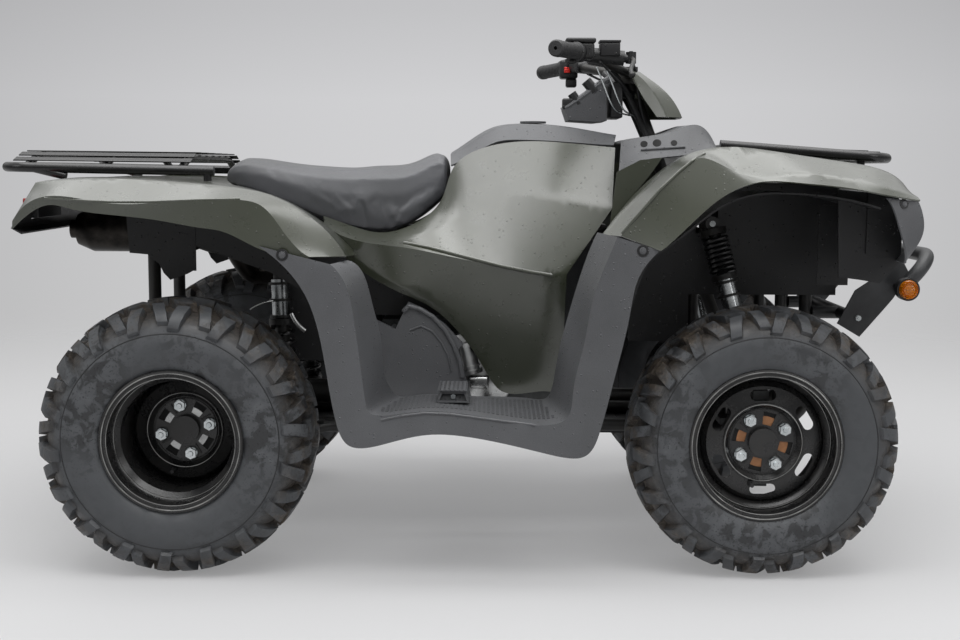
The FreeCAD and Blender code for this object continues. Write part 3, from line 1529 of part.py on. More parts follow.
# Undertray: a plate under the rear deck with a skirt down each side
tray_start = -250.0
tray_length = 250.0
tray_half = 266.0
skirt_shares = [(0.37, 1.0), (0.37, 0.75), (0.39, 0.35), (0.56, 0.33), (0.59, 0.27), (0.66, 0.21),
                (0.70, 0.09),
                (0.76, 0.0), (0.92, 0.08), (0.97, 0.12), (1.0, 0.12), (1.0, 1.0)]
skirt_drop = 173.0


def make_undertray(frame):
    """The tray over the silencer, with its skirts, resting on the frame's tail."""
    x = at_rear(tray_start)
    tray_z = top_at(frame, at_rear(frame_tail), frame_half, 2 * rail_dia) + clearance
    plate = box(x, x + tray_length, -tray_half, tray_half, tray_z, tray_z + wall)
    outline = [(x + u * tray_length, tray_z - skirt_drop + w * (skirt_drop + wall)) for u, w in skirt_shares]
    left = side_plate(outline, tray_half - wall, tray_half)
    save("undertray", fused([plate, left, mirrored(left)]))


# Foot pegs, fuel cap and hitch
peg_ahead = 597.0
peg_length = 72.0
peg_inner = 330.0
peg_outer = 470.0
peg_rise = 26.0
cap_ahead = 780.0
cap_dia = 64.0
cap_rise = 4.5
hitch_length = 62.0
hitch_width = 70.0
hitch_thick = 8.0
hitch_hole_dia = 19.0
hitch_hole_in = 22.0
hitch_flange_half = 30.0


def make_small_pieces(floor, strip):
    """Foot pegs, the fuel cap and the tow hitch."""
    x = at_rear(peg_ahead - peg_length / 2)
    spots = [(x + u * peg_length, y) for u in (0, 1) for y in (peg_inner, peg_outer)]
    base = max(top_at(floor, px, py, post_dia) for px, py in spots) + clearance
    left = box(x, x + peg_length, peg_inner, peg_outer, base, base + peg_rise)
    save("foot_pegs", Part.makeCompound([mirrored(left), left]))
    x = at_rear(cap_ahead)
    z = top_at(strip, x, 0, cap_dia) + clearance
    save("fuel_cap", rod(V(x, 0, z), V(x, 0, z + cap_rise), cap_dia))
    x = at_rear(-rear_drive_dia / 2) - clearance
    z = rear_axle_z + drive_rise
    half = hitch_width / 2
    tongue = box(x - hitch_length, x, -half, half, z - hitch_thick / 2, z + hitch_thick / 2)
    flange = box(x - hitch_thick, x, -half, half, z - hitch_flange_half, z + hitch_flange_half)
    middle = V(x - hitch_length + hitch_hole_in, 0, z)
    bore = rod(middle - V(0, 0, hitch_thick), middle + V(0, 0, hitch_thick), hitch_hole_dia)
    save("hitch", fused([tongue, flange]).cut(bore))


def main():
    """Make every sub-part."""
    make_wheels()
    front_panels = make_front_body()
    make_fender_tips()
    rear_panels = make_rear_body()
    strip = make_tank_strip()
    make_side_covers()
    make_engine_covers()
    seat = make_seat()
    floor = make_floorboards()
    make_console()
    frame = make_frame(seat, rear_panels[-1], floor, strip)
    make_engine()
    make_skid_plate()
    make_exhaust()
    make_final_drives()
    make_arms()
    make_shocks()
    make_knuckles()
    make_tie_rods()
    make_steering()
    make_controls()
    make_pod_and_cowl()
    make_racks(front_panels, rear_panels)
    make_bumper()
    make_turn_lamps()
    make_headlights()
    make_fascia()
    make_inner_liners()
    make_undertray(frame)
    make_small_pieces(floor, strip)


main()
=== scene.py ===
# %% [markdown]
# # Quad bike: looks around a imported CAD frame
# The CAD model gives every part its place and size. This file loads it, gives each part the finish of
# the real material, and adds the forms that the eye looks for: tyre lugs, springs, a stuffed seat,
# ribbed grips, bolts and lenses. Everything is in metres, in the CAD's own frame: X forward, Z up,
# and the right side of the machine faces -Y, towards the camera.

# %% Load the frame
import bpy
import bmesh
import math
from mathutils import Matrix, Vector
from mathutils.bvhtree import BVHTree


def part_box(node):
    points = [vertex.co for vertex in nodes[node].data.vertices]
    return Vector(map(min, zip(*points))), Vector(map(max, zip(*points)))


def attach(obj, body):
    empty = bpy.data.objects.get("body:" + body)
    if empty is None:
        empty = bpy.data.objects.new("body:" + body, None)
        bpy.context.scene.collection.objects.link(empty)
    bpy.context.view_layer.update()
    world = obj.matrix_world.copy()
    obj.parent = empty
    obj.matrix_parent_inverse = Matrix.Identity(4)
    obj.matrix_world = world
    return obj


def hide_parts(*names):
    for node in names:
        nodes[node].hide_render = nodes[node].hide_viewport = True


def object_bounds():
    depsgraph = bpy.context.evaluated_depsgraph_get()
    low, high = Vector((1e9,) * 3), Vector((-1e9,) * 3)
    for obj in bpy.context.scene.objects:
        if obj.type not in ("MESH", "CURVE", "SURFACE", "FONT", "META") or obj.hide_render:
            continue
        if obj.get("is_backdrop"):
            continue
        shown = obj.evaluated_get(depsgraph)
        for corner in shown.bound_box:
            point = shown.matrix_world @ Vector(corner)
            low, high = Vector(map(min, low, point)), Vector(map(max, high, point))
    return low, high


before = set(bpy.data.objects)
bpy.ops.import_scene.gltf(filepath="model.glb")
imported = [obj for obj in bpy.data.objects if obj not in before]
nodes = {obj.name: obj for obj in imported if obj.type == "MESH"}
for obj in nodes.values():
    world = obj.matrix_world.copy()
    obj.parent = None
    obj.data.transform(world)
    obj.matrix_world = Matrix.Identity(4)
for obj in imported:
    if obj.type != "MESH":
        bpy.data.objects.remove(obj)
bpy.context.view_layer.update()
MM = 0.001


# %% [markdown]
# ## Camera
# The photograph was taken from the right side, a little above the seat, with a normal lens. The lens,
# height and tilt come from lining up the two wheels, the racks and the handlebar with their known
# places. An object shot from 3 m shows perspective: the far tyres are smaller than the near ones.

# %% Camera
image_width, image_height = 960, 640
focal_px = 1350.0
camera_place = (0.033, -3.360, 0.882)
yaw_deg, tilt_deg, roll_deg = 0.4, -6.45, 0.25
camera_data = bpy.data.cameras.new("photo_camera")
camera_data.sensor_width = 36.0
camera_data.lens = focal_px * camera_data.sensor_width / image_width
camera_data.clip_end = 60.0
camera = bpy.data.objects.new("photo_camera", camera_data)
bpy.context.collection.objects.link(camera)
camera_turn = (Matrix.Rotation(math.radians(yaw_deg), 4, "Z")
               @ Matrix.Rotation(math.radians(90 + tilt_deg), 4, "X")
               @ Matrix.Rotation(math.radians(roll_deg), 4, "Z"))
camera.matrix_world = Matrix.Translation(camera_place) @ camera_turn
bpy.context.scene.camera = camera
bpy.context.scene.view_settings.view_transform = "Standard"
print("lens", round(camera_data.lens, 2), "mm")


# %% [markdown]
# ## Colours and nodes
# Web colours are written for a screen, but light adds up on a linear scale, so each hex colour is
# turned to linear once. A material is a small graph. One helper adds a node, sets its options and
# connects its inputs, which keeps each material short enough to read.

# %% Colour and node helpers
def linear(hex_colour):
    """An sRGB hex colour as linear RGBA."""
    channels = [int(hex_colour[i:i + 2], 16) / 255 for i in (1, 3, 5)]
    return [c / 12.92 if c <= 0.04045 else ((c + 0.055) / 1.055) ** 2.4 for c in channels] + [1.0]


def add(tree, kind, inputs=None, **settings):
    """A node with its settings. An input is a value, or a (node, output) pair to link from."""
    node = tree.nodes.new(kind)
    for name, value in settings.items():
        setattr(node, name, value)
    for name, value in (inputs or {}).items():
        if isinstance(value, tuple) and isinstance(value[0], bpy.types.Node):
            tree.links.new(value[0].outputs[value[1]], node.inputs[name])
        else:
            node.inputs[name].default_value = value
    return node


def ramp(tree, source, stops):
    """A colour ramp from (place, grey or hex colour) stops."""
    node = add(tree, "ShaderNodeValToRGB", {"Fac": source})
    band = node.color_ramp.elements
    while len(band) < len(stops):
        band.new(0.5)
    for element, (place, colour) in zip(band, stops):
        element.position = place
        element.color = linear(colour) if isinstance(colour, str) else (colour, colour, colour, 1.0)
    return node


def material(name, roughness, metallic=0.0):
    """An empty material with its shader, and the object's own coordinates."""
    made = bpy.data.materials.new(name)
    made.use_nodes = True
    tree = made.node_tree
    shader = tree.nodes["Principled BSDF"]
    shader.inputs["Roughness"].default_value = roughness
    shader.inputs["Metallic"].default_value = metallic
    place = (add(tree, "ShaderNodeTexCoord"), "Object")
    return made, tree, shader, place


def join(tree, source, shader, socket):
    """Links a (node, output) pair to a socket of the shader."""
    tree.links.new(source[0].outputs[source[1]], shader.inputs[socket])


def grain(tree, shader, height, distance, strength=1.0):
    """Bumps the surface by a height pattern, distance in metres."""
    bump = add(tree, "ShaderNodeBump", {"Height": height, "Distance": distance, "Strength": strength})
    join(tree, (bump, "Normal"), shader, "Normal")


# %% [markdown]
# ## Floor, backdrop and light
# The machine stands in a pale grey studio. The floor is a wide disc whose rim fades out, so that no
# horizon line shows. The backdrop is the world itself: rays from the camera see a soft grey that
# darkens upwards. Other rays see a plain soft light from above, with a darker band near the horizon
# that gives the glossy panels something to reflect.

# %% World
world = bpy.data.worlds.new("studio")
bpy.context.scene.world = world
world.use_nodes = True
tree = world.node_tree
tree.nodes.clear()
direction = add(tree, "ShaderNodeTexCoord")
split = add(tree, "ShaderNodeSeparateXYZ", {"Vector": (direction, "Generated")})
height = add(tree, "ShaderNodeMapRange", {"Value": (split, "Z"), "From Min": -0.35, "From Max": 0.35})
middle = ramp(tree, (height, "Result"), [(0.0, "#d4d4d5"), (0.36, "#cfcfd0"), (0.57, "#d0d0d2"),
                                         (0.66, "#c3c3c5"), (0.85, "#b4b4b6")])
aside = add(tree, "ShaderNodeMath", {0: (split, "X"), 1: 2.0}, operation="POWER")
fall = add(tree, "ShaderNodeMapRange", {"Value": (aside, 0), "From Max": 0.116, "To Min": 1.0,
                                        "To Max": 0.83})
seen = add(tree, "ShaderNodeMix", {"Factor": 1.0, 6: (middle, "Color"), 7: (fall, "Result")},
           data_type="RGBA", blend_type="MULTIPLY")
lift = add(tree, "ShaderNodeMapRange", {"Value": (split, "Z"), "From Min": -1.0, "From Max": 1.0})
soft = ramp(tree, (lift, "Result"), [(0.0, 0.34), (0.47, 0.28), (0.53, 0.12), (0.60, 0.16),
                                     (0.70, 0.55), (1.0, 0.72)])
mirrored_room = ramp(tree, (lift, "Result"), [(0.0, 0.42), (0.47, 0.34), (0.52, 0.16), (0.60, 0.30),
                                              (0.72, 0.85), (1.0, 1.0)])
path = add(tree, "ShaderNodeLightPath")
room = add(tree, "ShaderNodeMix", {"Factor": (path, "Is Glossy Ray"), 6: (soft, "Color"),
                                   7: (mirrored_room, "Color")}, data_type="RGBA")
backdrop_rays = add(tree, "ShaderNodeMath", {0: (path, "Is Camera Ray"), 1: (path, "Is Transmission Ray")},
                    operation="MAXIMUM")
chosen = add(tree, "ShaderNodeMix", {"Factor": (backdrop_rays, 0), 6: (room, 2), 7: (seen, 2)},
             data_type="RGBA")
light = add(tree, "ShaderNodeBackground", {"Color": (chosen, 2), "Strength": 1.0})
add(tree, "ShaderNodeOutputWorld", {"Surface": (light, "Background")})
print("world ready")

# %% Floor and lamps
floor_radius = 6.0
fade_start = 2.2
disc = bmesh.new()
bmesh.ops.create_circle(disc, cap_ends=True, segments=96, radius=floor_radius)
floor_mesh = bpy.data.meshes.new("studio_floor")
disc.to_mesh(floor_mesh)
disc.free()
floor = bpy.data.objects.new("studio_floor", floor_mesh)
bpy.context.collection.objects.link(floor)
floor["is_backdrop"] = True
floor_paint, tree, shader, place = material("studio_floor_paint", 0.6)
shader.inputs["Base Color"].default_value = linear("#dfdfe0")
shader.inputs["Specular IOR Level"].default_value = 0.2
glow = add(tree, "ShaderNodeEmission", {"Color": linear("#d6d6d7"), "Strength": 1.0})
rays = add(tree, "ShaderNodeLightPath")
seen_rays = add(tree, "ShaderNodeMath", {0: (rays, "Is Camera Ray"), 1: (rays, "Is Glossy Ray")},
                operation="MAXIMUM")
seen_rays = add(tree, "ShaderNodeMath", {0: (seen_rays, 0), 1: (rays, "Is Transmission Ray")},
                operation="MAXIMUM")
part = add(tree, "ShaderNodeMath", {0: (seen_rays, 0), 1: 0.36}, operation="MULTIPLY")
pale = add(tree, "ShaderNodeMixShader", {0: (part, 0), 1: (shader, "BSDF"), 2: (glow, "Emission")})
reach = add(tree, "ShaderNodeVectorMath", {0: place}, operation="LENGTH")
fade = add(tree, "ShaderNodeMapRange", {"Value": (reach, "Value"), "From Min": fade_start,
                                        "From Max": floor_radius - 0.1}, interpolation_type="SMOOTHSTEP")
clear = add(tree, "ShaderNodeBsdfTransparent")
mixed = add(tree, "ShaderNodeMixShader", {0: (fade, "Result"), 1: (pale, 0), 2: (clear, "BSDF")})
tree.links.new(mixed.outputs[0], tree.nodes["Material Output"].inputs["Surface"])
floor_mesh.materials.append(floor_paint)


def lamp(name, place, aim, width, depth, watts, colour="#ffffff"):
    """A soft panel of light at a place, pointed at a spot."""
    data = bpy.data.lights.new(name, "AREA")
    data.shape = "RECTANGLE"
    data.size = width
    data.size_y = depth
    data.energy = watts
    data.color = linear(colour)[:3]
    made = bpy.data.objects.new(name, data)
    bpy.context.collection.objects.link(made)
    made.location = place
    made.rotation_euler = (Vector(aim) - Vector(place)).to_track_quat("-Z", "Y").to_euler()
    return made


# The ceiling panel only makes highlights, as a wide white room does, and adds no plain light.
lamp("near_panel", (0.1, -2.1, 3.8), (0, 0, 0.7), 4.2, 1.1, 57)
lamp("top_panel", (0.0, -0.45, 3.9), (0, 0, 0.7), 4.4, 1.3, 46)
ceiling = lamp("ceiling_panel", (0.2, 0.3, 4.0), (0.2, 0.3, 0.0), 6.0, 4.0, 130)
ceiling.visible_diffuse = False
lamp("front_panel", (3.2, -2.6, 2.2), (0.2, 0, 0.5), 1.4, 1.4, 14)
lamp("rear_panel", (-3.4, -2.0, 2.2), (-0.2, 0, 0.5), 1.4, 1.4, 9)
print("floor and lamps ready")


# %% [markdown]
# ## Body plastics
# The olive panels are moulded polypropylene, coloured through and glossy. On the real part the gloss
# mirrors the sky in broad soft bands, because a large moulding is never quite flat: a very low, wide
# bump gives that. Fine water drops and dust sit on it. The grey and black parts are the same plastic
# with a sand-like grain in the mould, so they look matt.

# %% Olive plastic
def drops(tree, place, size_mm, share):
    """A height pattern of scattered round drops: a share of the cells holds one."""
    cells = add(tree, "ShaderNodeTexVoronoi", {"Vector": place, "Scale": 1 / (size_mm * MM)})
    dome = add(tree, "ShaderNodeMapRange", {"Value": (cells, "Distance"), "From Min": 0.30, "From Max": 0.12},
               interpolation_type="SMOOTHSTEP")
    chance = add(tree, "ShaderNodeSeparateColor", {"Color": (cells, "Color")})
    chosen = add(tree, "ShaderNodeMath", {0: (chance, "Red"), 1: share}, operation="LESS_THAN")
    return add(tree, "ShaderNodeMath", {0: (dome, "Result"), 1: (chosen, 0)}, operation="MULTIPLY")


# Coloured-through polypropylene, polished mould: a clear gloss with slow waves 260 mm long.
olive, tree, shader, place = material("olive_polypropylene", 0.16)
shader.inputs["Coat Weight"].default_value = 1.0
shader.inputs["Coat Roughness"].default_value = 0.24
patch = add(tree, "ShaderNodeTexNoise", {"Vector": place, "Scale": 3.0, "Detail": 3.0})
tint = ramp(tree, (patch, "Fac"), [(0.3, "#32362a"), (0.7, "#3a3e2f")])
join(tree, (tint, "Color"), shader, "Base Color")
scuffs = add(tree, "ShaderNodeTexNoise", {"Vector": place, "Scale": 28.0, "Detail": 6.0, "Roughness": 0.7})
dull = add(tree, "ShaderNodeMapRange", {"Value": (scuffs, "Fac"), "From Min": 0.35, "From Max": 0.75,
                                        "To Min": 0.26, "To Max": 0.40})
join(tree, (dull, "Result"), shader, "Roughness")
waves = add(tree, "ShaderNodeTexNoise", {"Vector": place, "Scale": 1 / 0.260, "Detail": 0.0})
slow = add(tree, "ShaderNodeBump", {"Height": (waves, "Fac"), "Distance": 0.006, "Strength": 0.22})
beads = drops(tree, place, 9.0, 0.16)
fine = add(tree, "ShaderNodeBump", {"Height": (beads, 0), "Distance": 0.0012, "Normal": (slow, "Normal")})
join(tree, (fine, "Normal"), shader, "Normal")


# %% Grey and black grained plastic
def grained_plastic(name, dark, pale, roughness, grain_mm, bump):
    """Moulded plastic with a sand grain and drops. The real grain of 0.3 mm is drawn larger to show."""
    made, tree, shader, place = material(name, roughness)
    clouds = add(tree, "ShaderNodeTexNoise", {"Vector": place, "Scale": 5.0, "Detail": 5.0, "Roughness": 0.6})
    specks = add(tree, "ShaderNodeTexNoise", {"Vector": place, "Scale": 1 / (grain_mm * MM), "Detail": 2.0})
    both = add(tree, "ShaderNodeMix", {"Factor": 0.45, 2: (clouds, "Fac"), 3: (specks, "Fac")},
               data_type="FLOAT")
    tint = ramp(tree, (both, 0), [(0.35, dark), (0.65, pale)])
    join(tree, (tint, "Color"), shader, "Base Color")
    beads = drops(tree, place, 8.0, 0.22)
    wet = add(tree, "ShaderNodeMapRange", {"Value": (beads, 0), "To Min": roughness, "To Max": 0.12})
    join(tree, (wet, "Result"), shader, "Roughness")
    sand = add(tree, "ShaderNodeBump", {"Height": (specks, "Fac"), "Distance": bump * MM, "Strength": 0.6})
    fine = add(tree, "ShaderNodeBump", {"Height": (beads, 0), "Distance": 0.001, "Normal": (sand, "Normal")})
    join(tree, (fine, "Normal"), shader, "Normal")
    return made


grey_plastic = grained_plastic("grained_grey_polypropylene", "#4c4d4f", "#5c5d60", 0.46, 1.3, 0.5)
black_plastic = grained_plastic("grained_black_polypropylene", "#141415", "#222224", 0.42, 1.3, 0.4)
print("plastics ready")


# %% [markdown]
# ## Metals
# Frame and rims are steel under black powder coat or gloss paint, which hides the metal: they are
# shaded as a dark coating. Zinc plated bolts, the cast cases and the silencer show bare metal, so
# these have metallic 1 and their colour is the metal's reflection.

# %% Painted and bare metals
def coated_steel(name, dark, pale, roughness, peel_mm):
    """Steel under paint or powder coat. The coat dries with a fine orange-peel ripple."""
    made, tree, shader, place = material(name, roughness)
    ripple = add(tree, "ShaderNodeTexNoise", {"Vector": place, "Scale": 1 / (peel_mm * MM), "Detail": 1.0})
    dust = add(tree, "ShaderNodeTexNoise", {"Vector": place, "Scale": 14.0, "Detail": 6.0, "Roughness": 0.65})
    tint = ramp(tree, (dust, "Fac"), [(0.40, dark), (0.70, pale)])
    join(tree, (tint, "Color"), shader, "Base Color")
    dull = add(tree, "ShaderNodeMapRange", {"Value": (dust, "Fac"), "From Min": 0.4, "From Max": 0.75,
                                            "To Min": roughness, "To Max": roughness + 0.2})
    join(tree, (dull, "Result"), shader, "Roughness")
    grain(tree, shader, (ripple, "Fac"), 0.0002, 0.5)
    return made


def bare_metal(name, dark, pale, roughness, grain_mm, bump_mm):
    """Bare cast or plated metal with stains and a fine grain."""
    made, tree, shader, place = material(name, roughness, 1.0)
    stain = add(tree, "ShaderNodeTexNoise", {"Vector": place, "Scale": 22.0, "Detail": 6.0, "Roughness": 0.6})
    tint = ramp(tree, (stain, "Fac"), [(0.35, dark), (0.65, pale)])
    join(tree, (tint, "Color"), shader, "Base Color")
    sand = add(tree, "ShaderNodeTexNoise", {"Vector": place, "Scale": 1 / (grain_mm * MM), "Detail": 2.0})
    dull = add(tree, "ShaderNodeMapRange", {"Value": (stain, "Fac"), "From Min": 0.3, "From Max": 0.7,
                                            "To Min": roughness - 0.08, "To Max": roughness + 0.12})
    join(tree, (dull, "Result"), shader, "Roughness")
    grain(tree, shader, (sand, "Fac"), bump_mm * MM, 0.6)
    return made


frame_coat = coated_steel("black_powder_coat", "#101011", "#2b2925", 0.42, 2.0)
rack_coat = coated_steel("black_gloss_rack_paint", "#0d0d0e", "#1a1a1b", 0.20, 4.0)
rim_paint = coated_steel("gloss_black_rim_paint", "#1c1c1d", "#2c2b2a", 0.22, 3.0)
bumper_coat = coated_steel("dark_grey_powder_coat", "#27282a", "#3c3d3f", 0.38, 2.0)
cast_alloy = bare_metal("cast_aluminium", "#8d8e8e", "#c4c5c4", 0.27, 1.2, 0.10)
zinc = bare_metal("zinc_plated_steel", "#aab0b2", "#dfe3e4", 0.24, 0.8, 0.03)
cast_case = bare_metal("painted_casting", "#3c3d3e", "#5c5d5d", 0.5, 1.2, 0.2)
# Pale bare metal for thin beads along the rim edges: a painted highlight line.
rim_highlight_metal = bare_metal("rim_edge_painted_highlight", "#6f6f6e", "#a2a2a0", 0.30, 1.2, 0.10)
# Near-black paint as painted shade: the dark inside of a wheel behind the rim's holes, and the console's
# hollows.
shade_black_paint = coated_steel("painted_shade_black", "#060606", "#0b0b0b", 0.75, 3.0)
exhaust_steel = bare_metal("blackened_silencer_steel", "#1b1a19", "#3b3835", 0.40, 1.5, 0.05)
shock_chrome = bare_metal("damper_steel", "#8d9193", "#d2d5d6", 0.22, 1.0, 0.02)
orange_coat = coated_steel("orange_hub_paint", "#8a5a34", "#b8845a", 0.45, 2.0)
print("metals ready")


# %% [markdown]
# ## Rubber, vinyl and lenses
# Tyre rubber is a dark carbon black mix with a dry, dusty skin. Mud dries between the lugs and
# leaves stained patches on the sidewall. Each tyre carries its own depth and reach values on its
# points, so the dirt follows the tread and not the room.

# %% Tyre rubber
tyre_rubber, tree, shader, place = material("dusty_tyre_rubber", 0.6)
reach = add(tree, "ShaderNodeAttribute", attribute_name="reach")
depth = add(tree, "ShaderNodeAttribute", attribute_name="depth")
stain = add(tree, "ShaderNodeTexNoise", {"Vector": place, "Scale": 1 / 0.030, "Detail": 4.0,
                                         "Roughness": 0.55, "Distortion": 0.6})
patchy = ramp(tree, (stain, "Fac"), [(0.43, "#2e2f31"), (0.51, "#4b4d50"), (0.75, "#5a5c5f")])
fleck = add(tree, "ShaderNodeTexNoise", {"Vector": place, "Scale": 1 / 0.0055, "Detail": 2.0,
                                         "Roughness": 0.6})
dark = ramp(tree, (fleck, "Fac"), [(0.58, 1.0), (0.66, 0.45)])
patchy = add(tree, "ShaderNodeMix", {"Factor": 1.0, 6: (patchy, "Color"), 7: (dark, "Color")},
             data_type="RGBA", blend_type="MULTIPLY")
wide = add(tree, "ShaderNodeTexNoise", {"Vector": place, "Scale": 1 / 0.25, "Detail": 2.0})
where = ramp(tree, (wide, "Fac"), [(0.42, 0.0), (0.58, 1.0)])
base = add(tree, "ShaderNodeMix", {"Factor": (where, "Color"), 6: linear("#45474a"), 7: (patchy, 2)},
           data_type="RGBA")
crumbs = add(tree, "ShaderNodeTexNoise", {"Vector": place, "Scale": 1 / 0.012, "Detail": 5.0,
                                          "Roughness": 0.7})
mud_tone = ramp(tree, (crumbs, "Fac"), [(0.35, "#2e2822"), (0.55, "#4e453b"), (0.75, "#75695b")])
near_tread = add(tree, "ShaderNodeMapRange", {"Value": (reach, "Fac"), "From Min": 0.80, "From Max": 0.97})
clods = add(tree, "ShaderNodeTexNoise", {"Vector": place, "Scale": 1 / 0.060, "Detail": 4.0,
                                         "Roughness": 0.6})
sunk = add(tree, "ShaderNodeMapRange", {"Value": (depth, "Fac"), "From Min": 0.9, "From Max": 0.0,
                                        "To Min": -0.03, "To Max": 0.16})
amount = add(tree, "ShaderNodeMath", {0: (clods, "Fac"), 1: (sunk, "Result")}, operation="ADD")
cover = ramp(tree, (amount, 0), [(0.46, 0.0), (0.60, 1.0)])
muddy = add(tree, "ShaderNodeMath", {0: (cover, "Color"), 1: (near_tread, "Result")}, operation="MULTIPLY")
colour = add(tree, "ShaderNodeMix", {"Factor": (muddy, 0), 6: (base, 2), 7: (mud_tone, "Color")},
             data_type="RGBA")
join(tree, (colour, 2), shader, "Base Color")
dull = add(tree, "ShaderNodeMapRange", {"Value": (stain, "Fac"), "From Min": 0.4, "From Max": 0.6,
                                        "To Min": 0.42, "To Max": 0.68})
join(tree, (dull, "Result"), shader, "Roughness")
rough = add(tree, "ShaderNodeMath", {0: (crumbs, "Fac"), 1: (muddy, 0)}, operation="MULTIPLY")
skin_bump = add(tree, "ShaderNodeTexNoise", {"Vector": place, "Scale": 1 / 0.0015, "Detail": 2.0})
first = add(tree, "ShaderNodeBump", {"Height": (skin_bump, "Fac"), "Distance": 0.0002, "Strength": 0.5})
second = add(tree, "ShaderNodeBump", {"Height": (rough, 0), "Distance": 0.004, "Normal": (first, "Normal")})
join(tree, (second, "Normal"), shader, "Normal")

# %% Grip rubber and seat vinyl
grip_rubber = grained_plastic("soft_grip_rubber", "#1d1d1e", "#2e2e30", 0.55, 1.6, 0.3)

# Coated vinyl cloth: a leather-like grain of 1.2 mm, drawn at 2 mm, under a satin coat.
seat_vinyl, tree, shader, place = material("satin_seat_vinyl", 0.36)
shade = add(tree, "ShaderNodeTexNoise", {"Vector": place, "Scale": 6.0, "Detail": 4.0})
tint = ramp(tree, (shade, "Fac"), [(0.35, "#48494c"), (0.65, "#535458")])
join(tree, (tint, "Color"), shader, "Base Color")
leather = add(tree, "ShaderNodeTexVoronoi", {"Vector": place, "Scale": 1 / 0.002}, feature="DISTANCE_TO_EDGE")
grooves = add(tree, "ShaderNodeMapRange", {"Value": (leather, "Distance"), "From Max": 0.12})
grain(tree, shader, (grooves, "Result"), 0.00025, 0.5)
shader.inputs["Sheen Weight"].default_value = 0.08


# %% Lenses
def lens_plastic(name, colour, see_through, roughness):
    """Moulded polycarbonate, with fine flutes inside that break up the light."""
    made, tree, shader, place = material(name, roughness)
    shader.inputs["Base Color"].default_value = linear(colour)
    shader.inputs["IOR"].default_value = 1.58
    shader.inputs["Transmission Weight"].default_value = see_through
    flutes = add(tree, "ShaderNodeTexWave", {"Vector": place, "Scale": 1 / 0.02, "Distortion": 0.0},
                 bands_direction="Z")
    grain(tree, shader, (flutes, "Fac"), 0.0008, 0.6)
    return made


clear_lens = lens_plastic("clear_polycarbonate", "#f4f6f7", 0.85, 0.08)
amber_lens = lens_plastic("amber_polycarbonate", "#e8860c", 0.35, 0.12)
red_lens = lens_plastic("red_polycarbonate", "#a30f0c", 0.35, 0.12)
red_button = lens_plastic("red_switch_plastic", "#d8281f", 0.0, 0.3)
reflector, tree, shader, place = material("mirror_coated_reflector", 0.12, 1.0)
shader.inputs["Base Color"].default_value = linear("#d5d8da")
facets = add(tree, "ShaderNodeTexVoronoi", {"Vector": place, "Scale": 1 / 0.014}, feature="SMOOTH_F1")
grain(tree, shader, (facets, "Distance"), 0.002, 0.5)
print("rubber, vinyl and lenses ready")


# %% [markdown]
# ## Finishes for the CAD parts
# The CAD parts keep their shapes and only take on a material. They are fine triangles, so a tiny
# geometry-nodes modifier shades them smooth and keeps each true corner sharp, which is what
# "shade smooth by angle" does in the editor.

# %% Smooth shading for CAD parts
smoother = bpy.data.node_groups.new("smooth_by_angle", "GeometryNodeTree")
smoother.interface.new_socket("Geometry", in_out="INPUT", socket_type="NodeSocketGeometry")
smoother.interface.new_socket("Geometry", in_out="OUTPUT", socket_type="NodeSocketGeometry")
entry = add(smoother, "NodeGroupInput")
plain = add(smoother, "GeometryNodeRemoveAttribute", {"Geometry": (entry, 0), "Name": "custom_normal"})
weld = add(smoother, "GeometryNodeMergeByDistance", {"Geometry": (plain, "Geometry"), "Distance": 0.00002})
soft_faces = add(smoother, "GeometryNodeSetShadeSmooth", {"Geometry": (weld, "Geometry"),
                                                          "Shade Smooth": True}, domain="FACE")
corner = add(smoother, "GeometryNodeInputMeshEdgeAngle")
sharp = add(smoother, "FunctionNodeCompare", {"A": (corner, "Unsigned Angle"), "B": math.radians(32)},
            data_type="FLOAT", operation="GREATER_THAN")
crisp = add(smoother, "GeometryNodeSetShadeSmooth", {"Geometry": (soft_faces, "Geometry"),
                                                     "Selection": (sharp, "Result"), "Shade Smooth": False},
            domain="EDGE")
add(smoother, "NodeGroupOutput", {0: (crisp, "Geometry")})

# %% Materials for CAD parts
finishes = {
    grey_plastic: ["fender_tips", "tank_strip", "floorboard_right", "floorboard_left", "engine_covers",
                   "console", "meter_pod", "fuel_cap"],
    black_plastic: ["tail_panel", "undertray", "inner_liners", "fascia", "skid_plate"],
    frame_coat: ["frame", "front_arms", "rear_arms", "front_drive", "rear_drive", "stem", "handlebar",
                 "hitch", "foot_pegs", "tie_rod_right", "tie_rod_left", "controls"],
    rack_coat: ["front_rack", "rear_rack"],
    bumper_coat: ["bumper"],
    rim_paint: ["rim_front_right", "rim_front_left", "rim_rear_right", "rim_rear_left"],
    cast_case: ["engine", "knuckle_right", "knuckle_left", "hub_carriers"],
    exhaust_steel: ["exhaust"],
    clear_lens: ["headlights"],
    amber_lens: ["turn_lamps"],
    red_lens: ["tail_lamps"],
    olive: ["front_fender_right", "front_fender_left", "hood", "rear_fender_right", "rear_fender_left",
            "rear_deck", "side_cover_right", "side_cover_left", "cowl"],
    tyre_rubber: ["tyre_front_right", "tyre_front_left", "tyre_rear_right", "tyre_rear_left"],
    seat_vinyl: ["seat"],
    grip_rubber: ["grips"],
    shock_chrome: ["front_shocks", "rear_shocks"],
}
for finish, names in finishes.items():
    for name in names:
        part = nodes[name]
        part.data.materials.clear()
        part.data.materials.append(finish)
        part.modifiers.new("smooth_by_angle", "NODES").node_group = smoother
print(sum(len(names) for names in finishes.values()), "CAD parts finished of", len(nodes))


# %% [markdown]
# ## New pieces
# A new piece starts as a bmesh, Blender's editable mesh in memory. When it has its shape it becomes
# an object at the origin, smooth except at real corners, with a material, and it is told which CAD
# body it moves with.

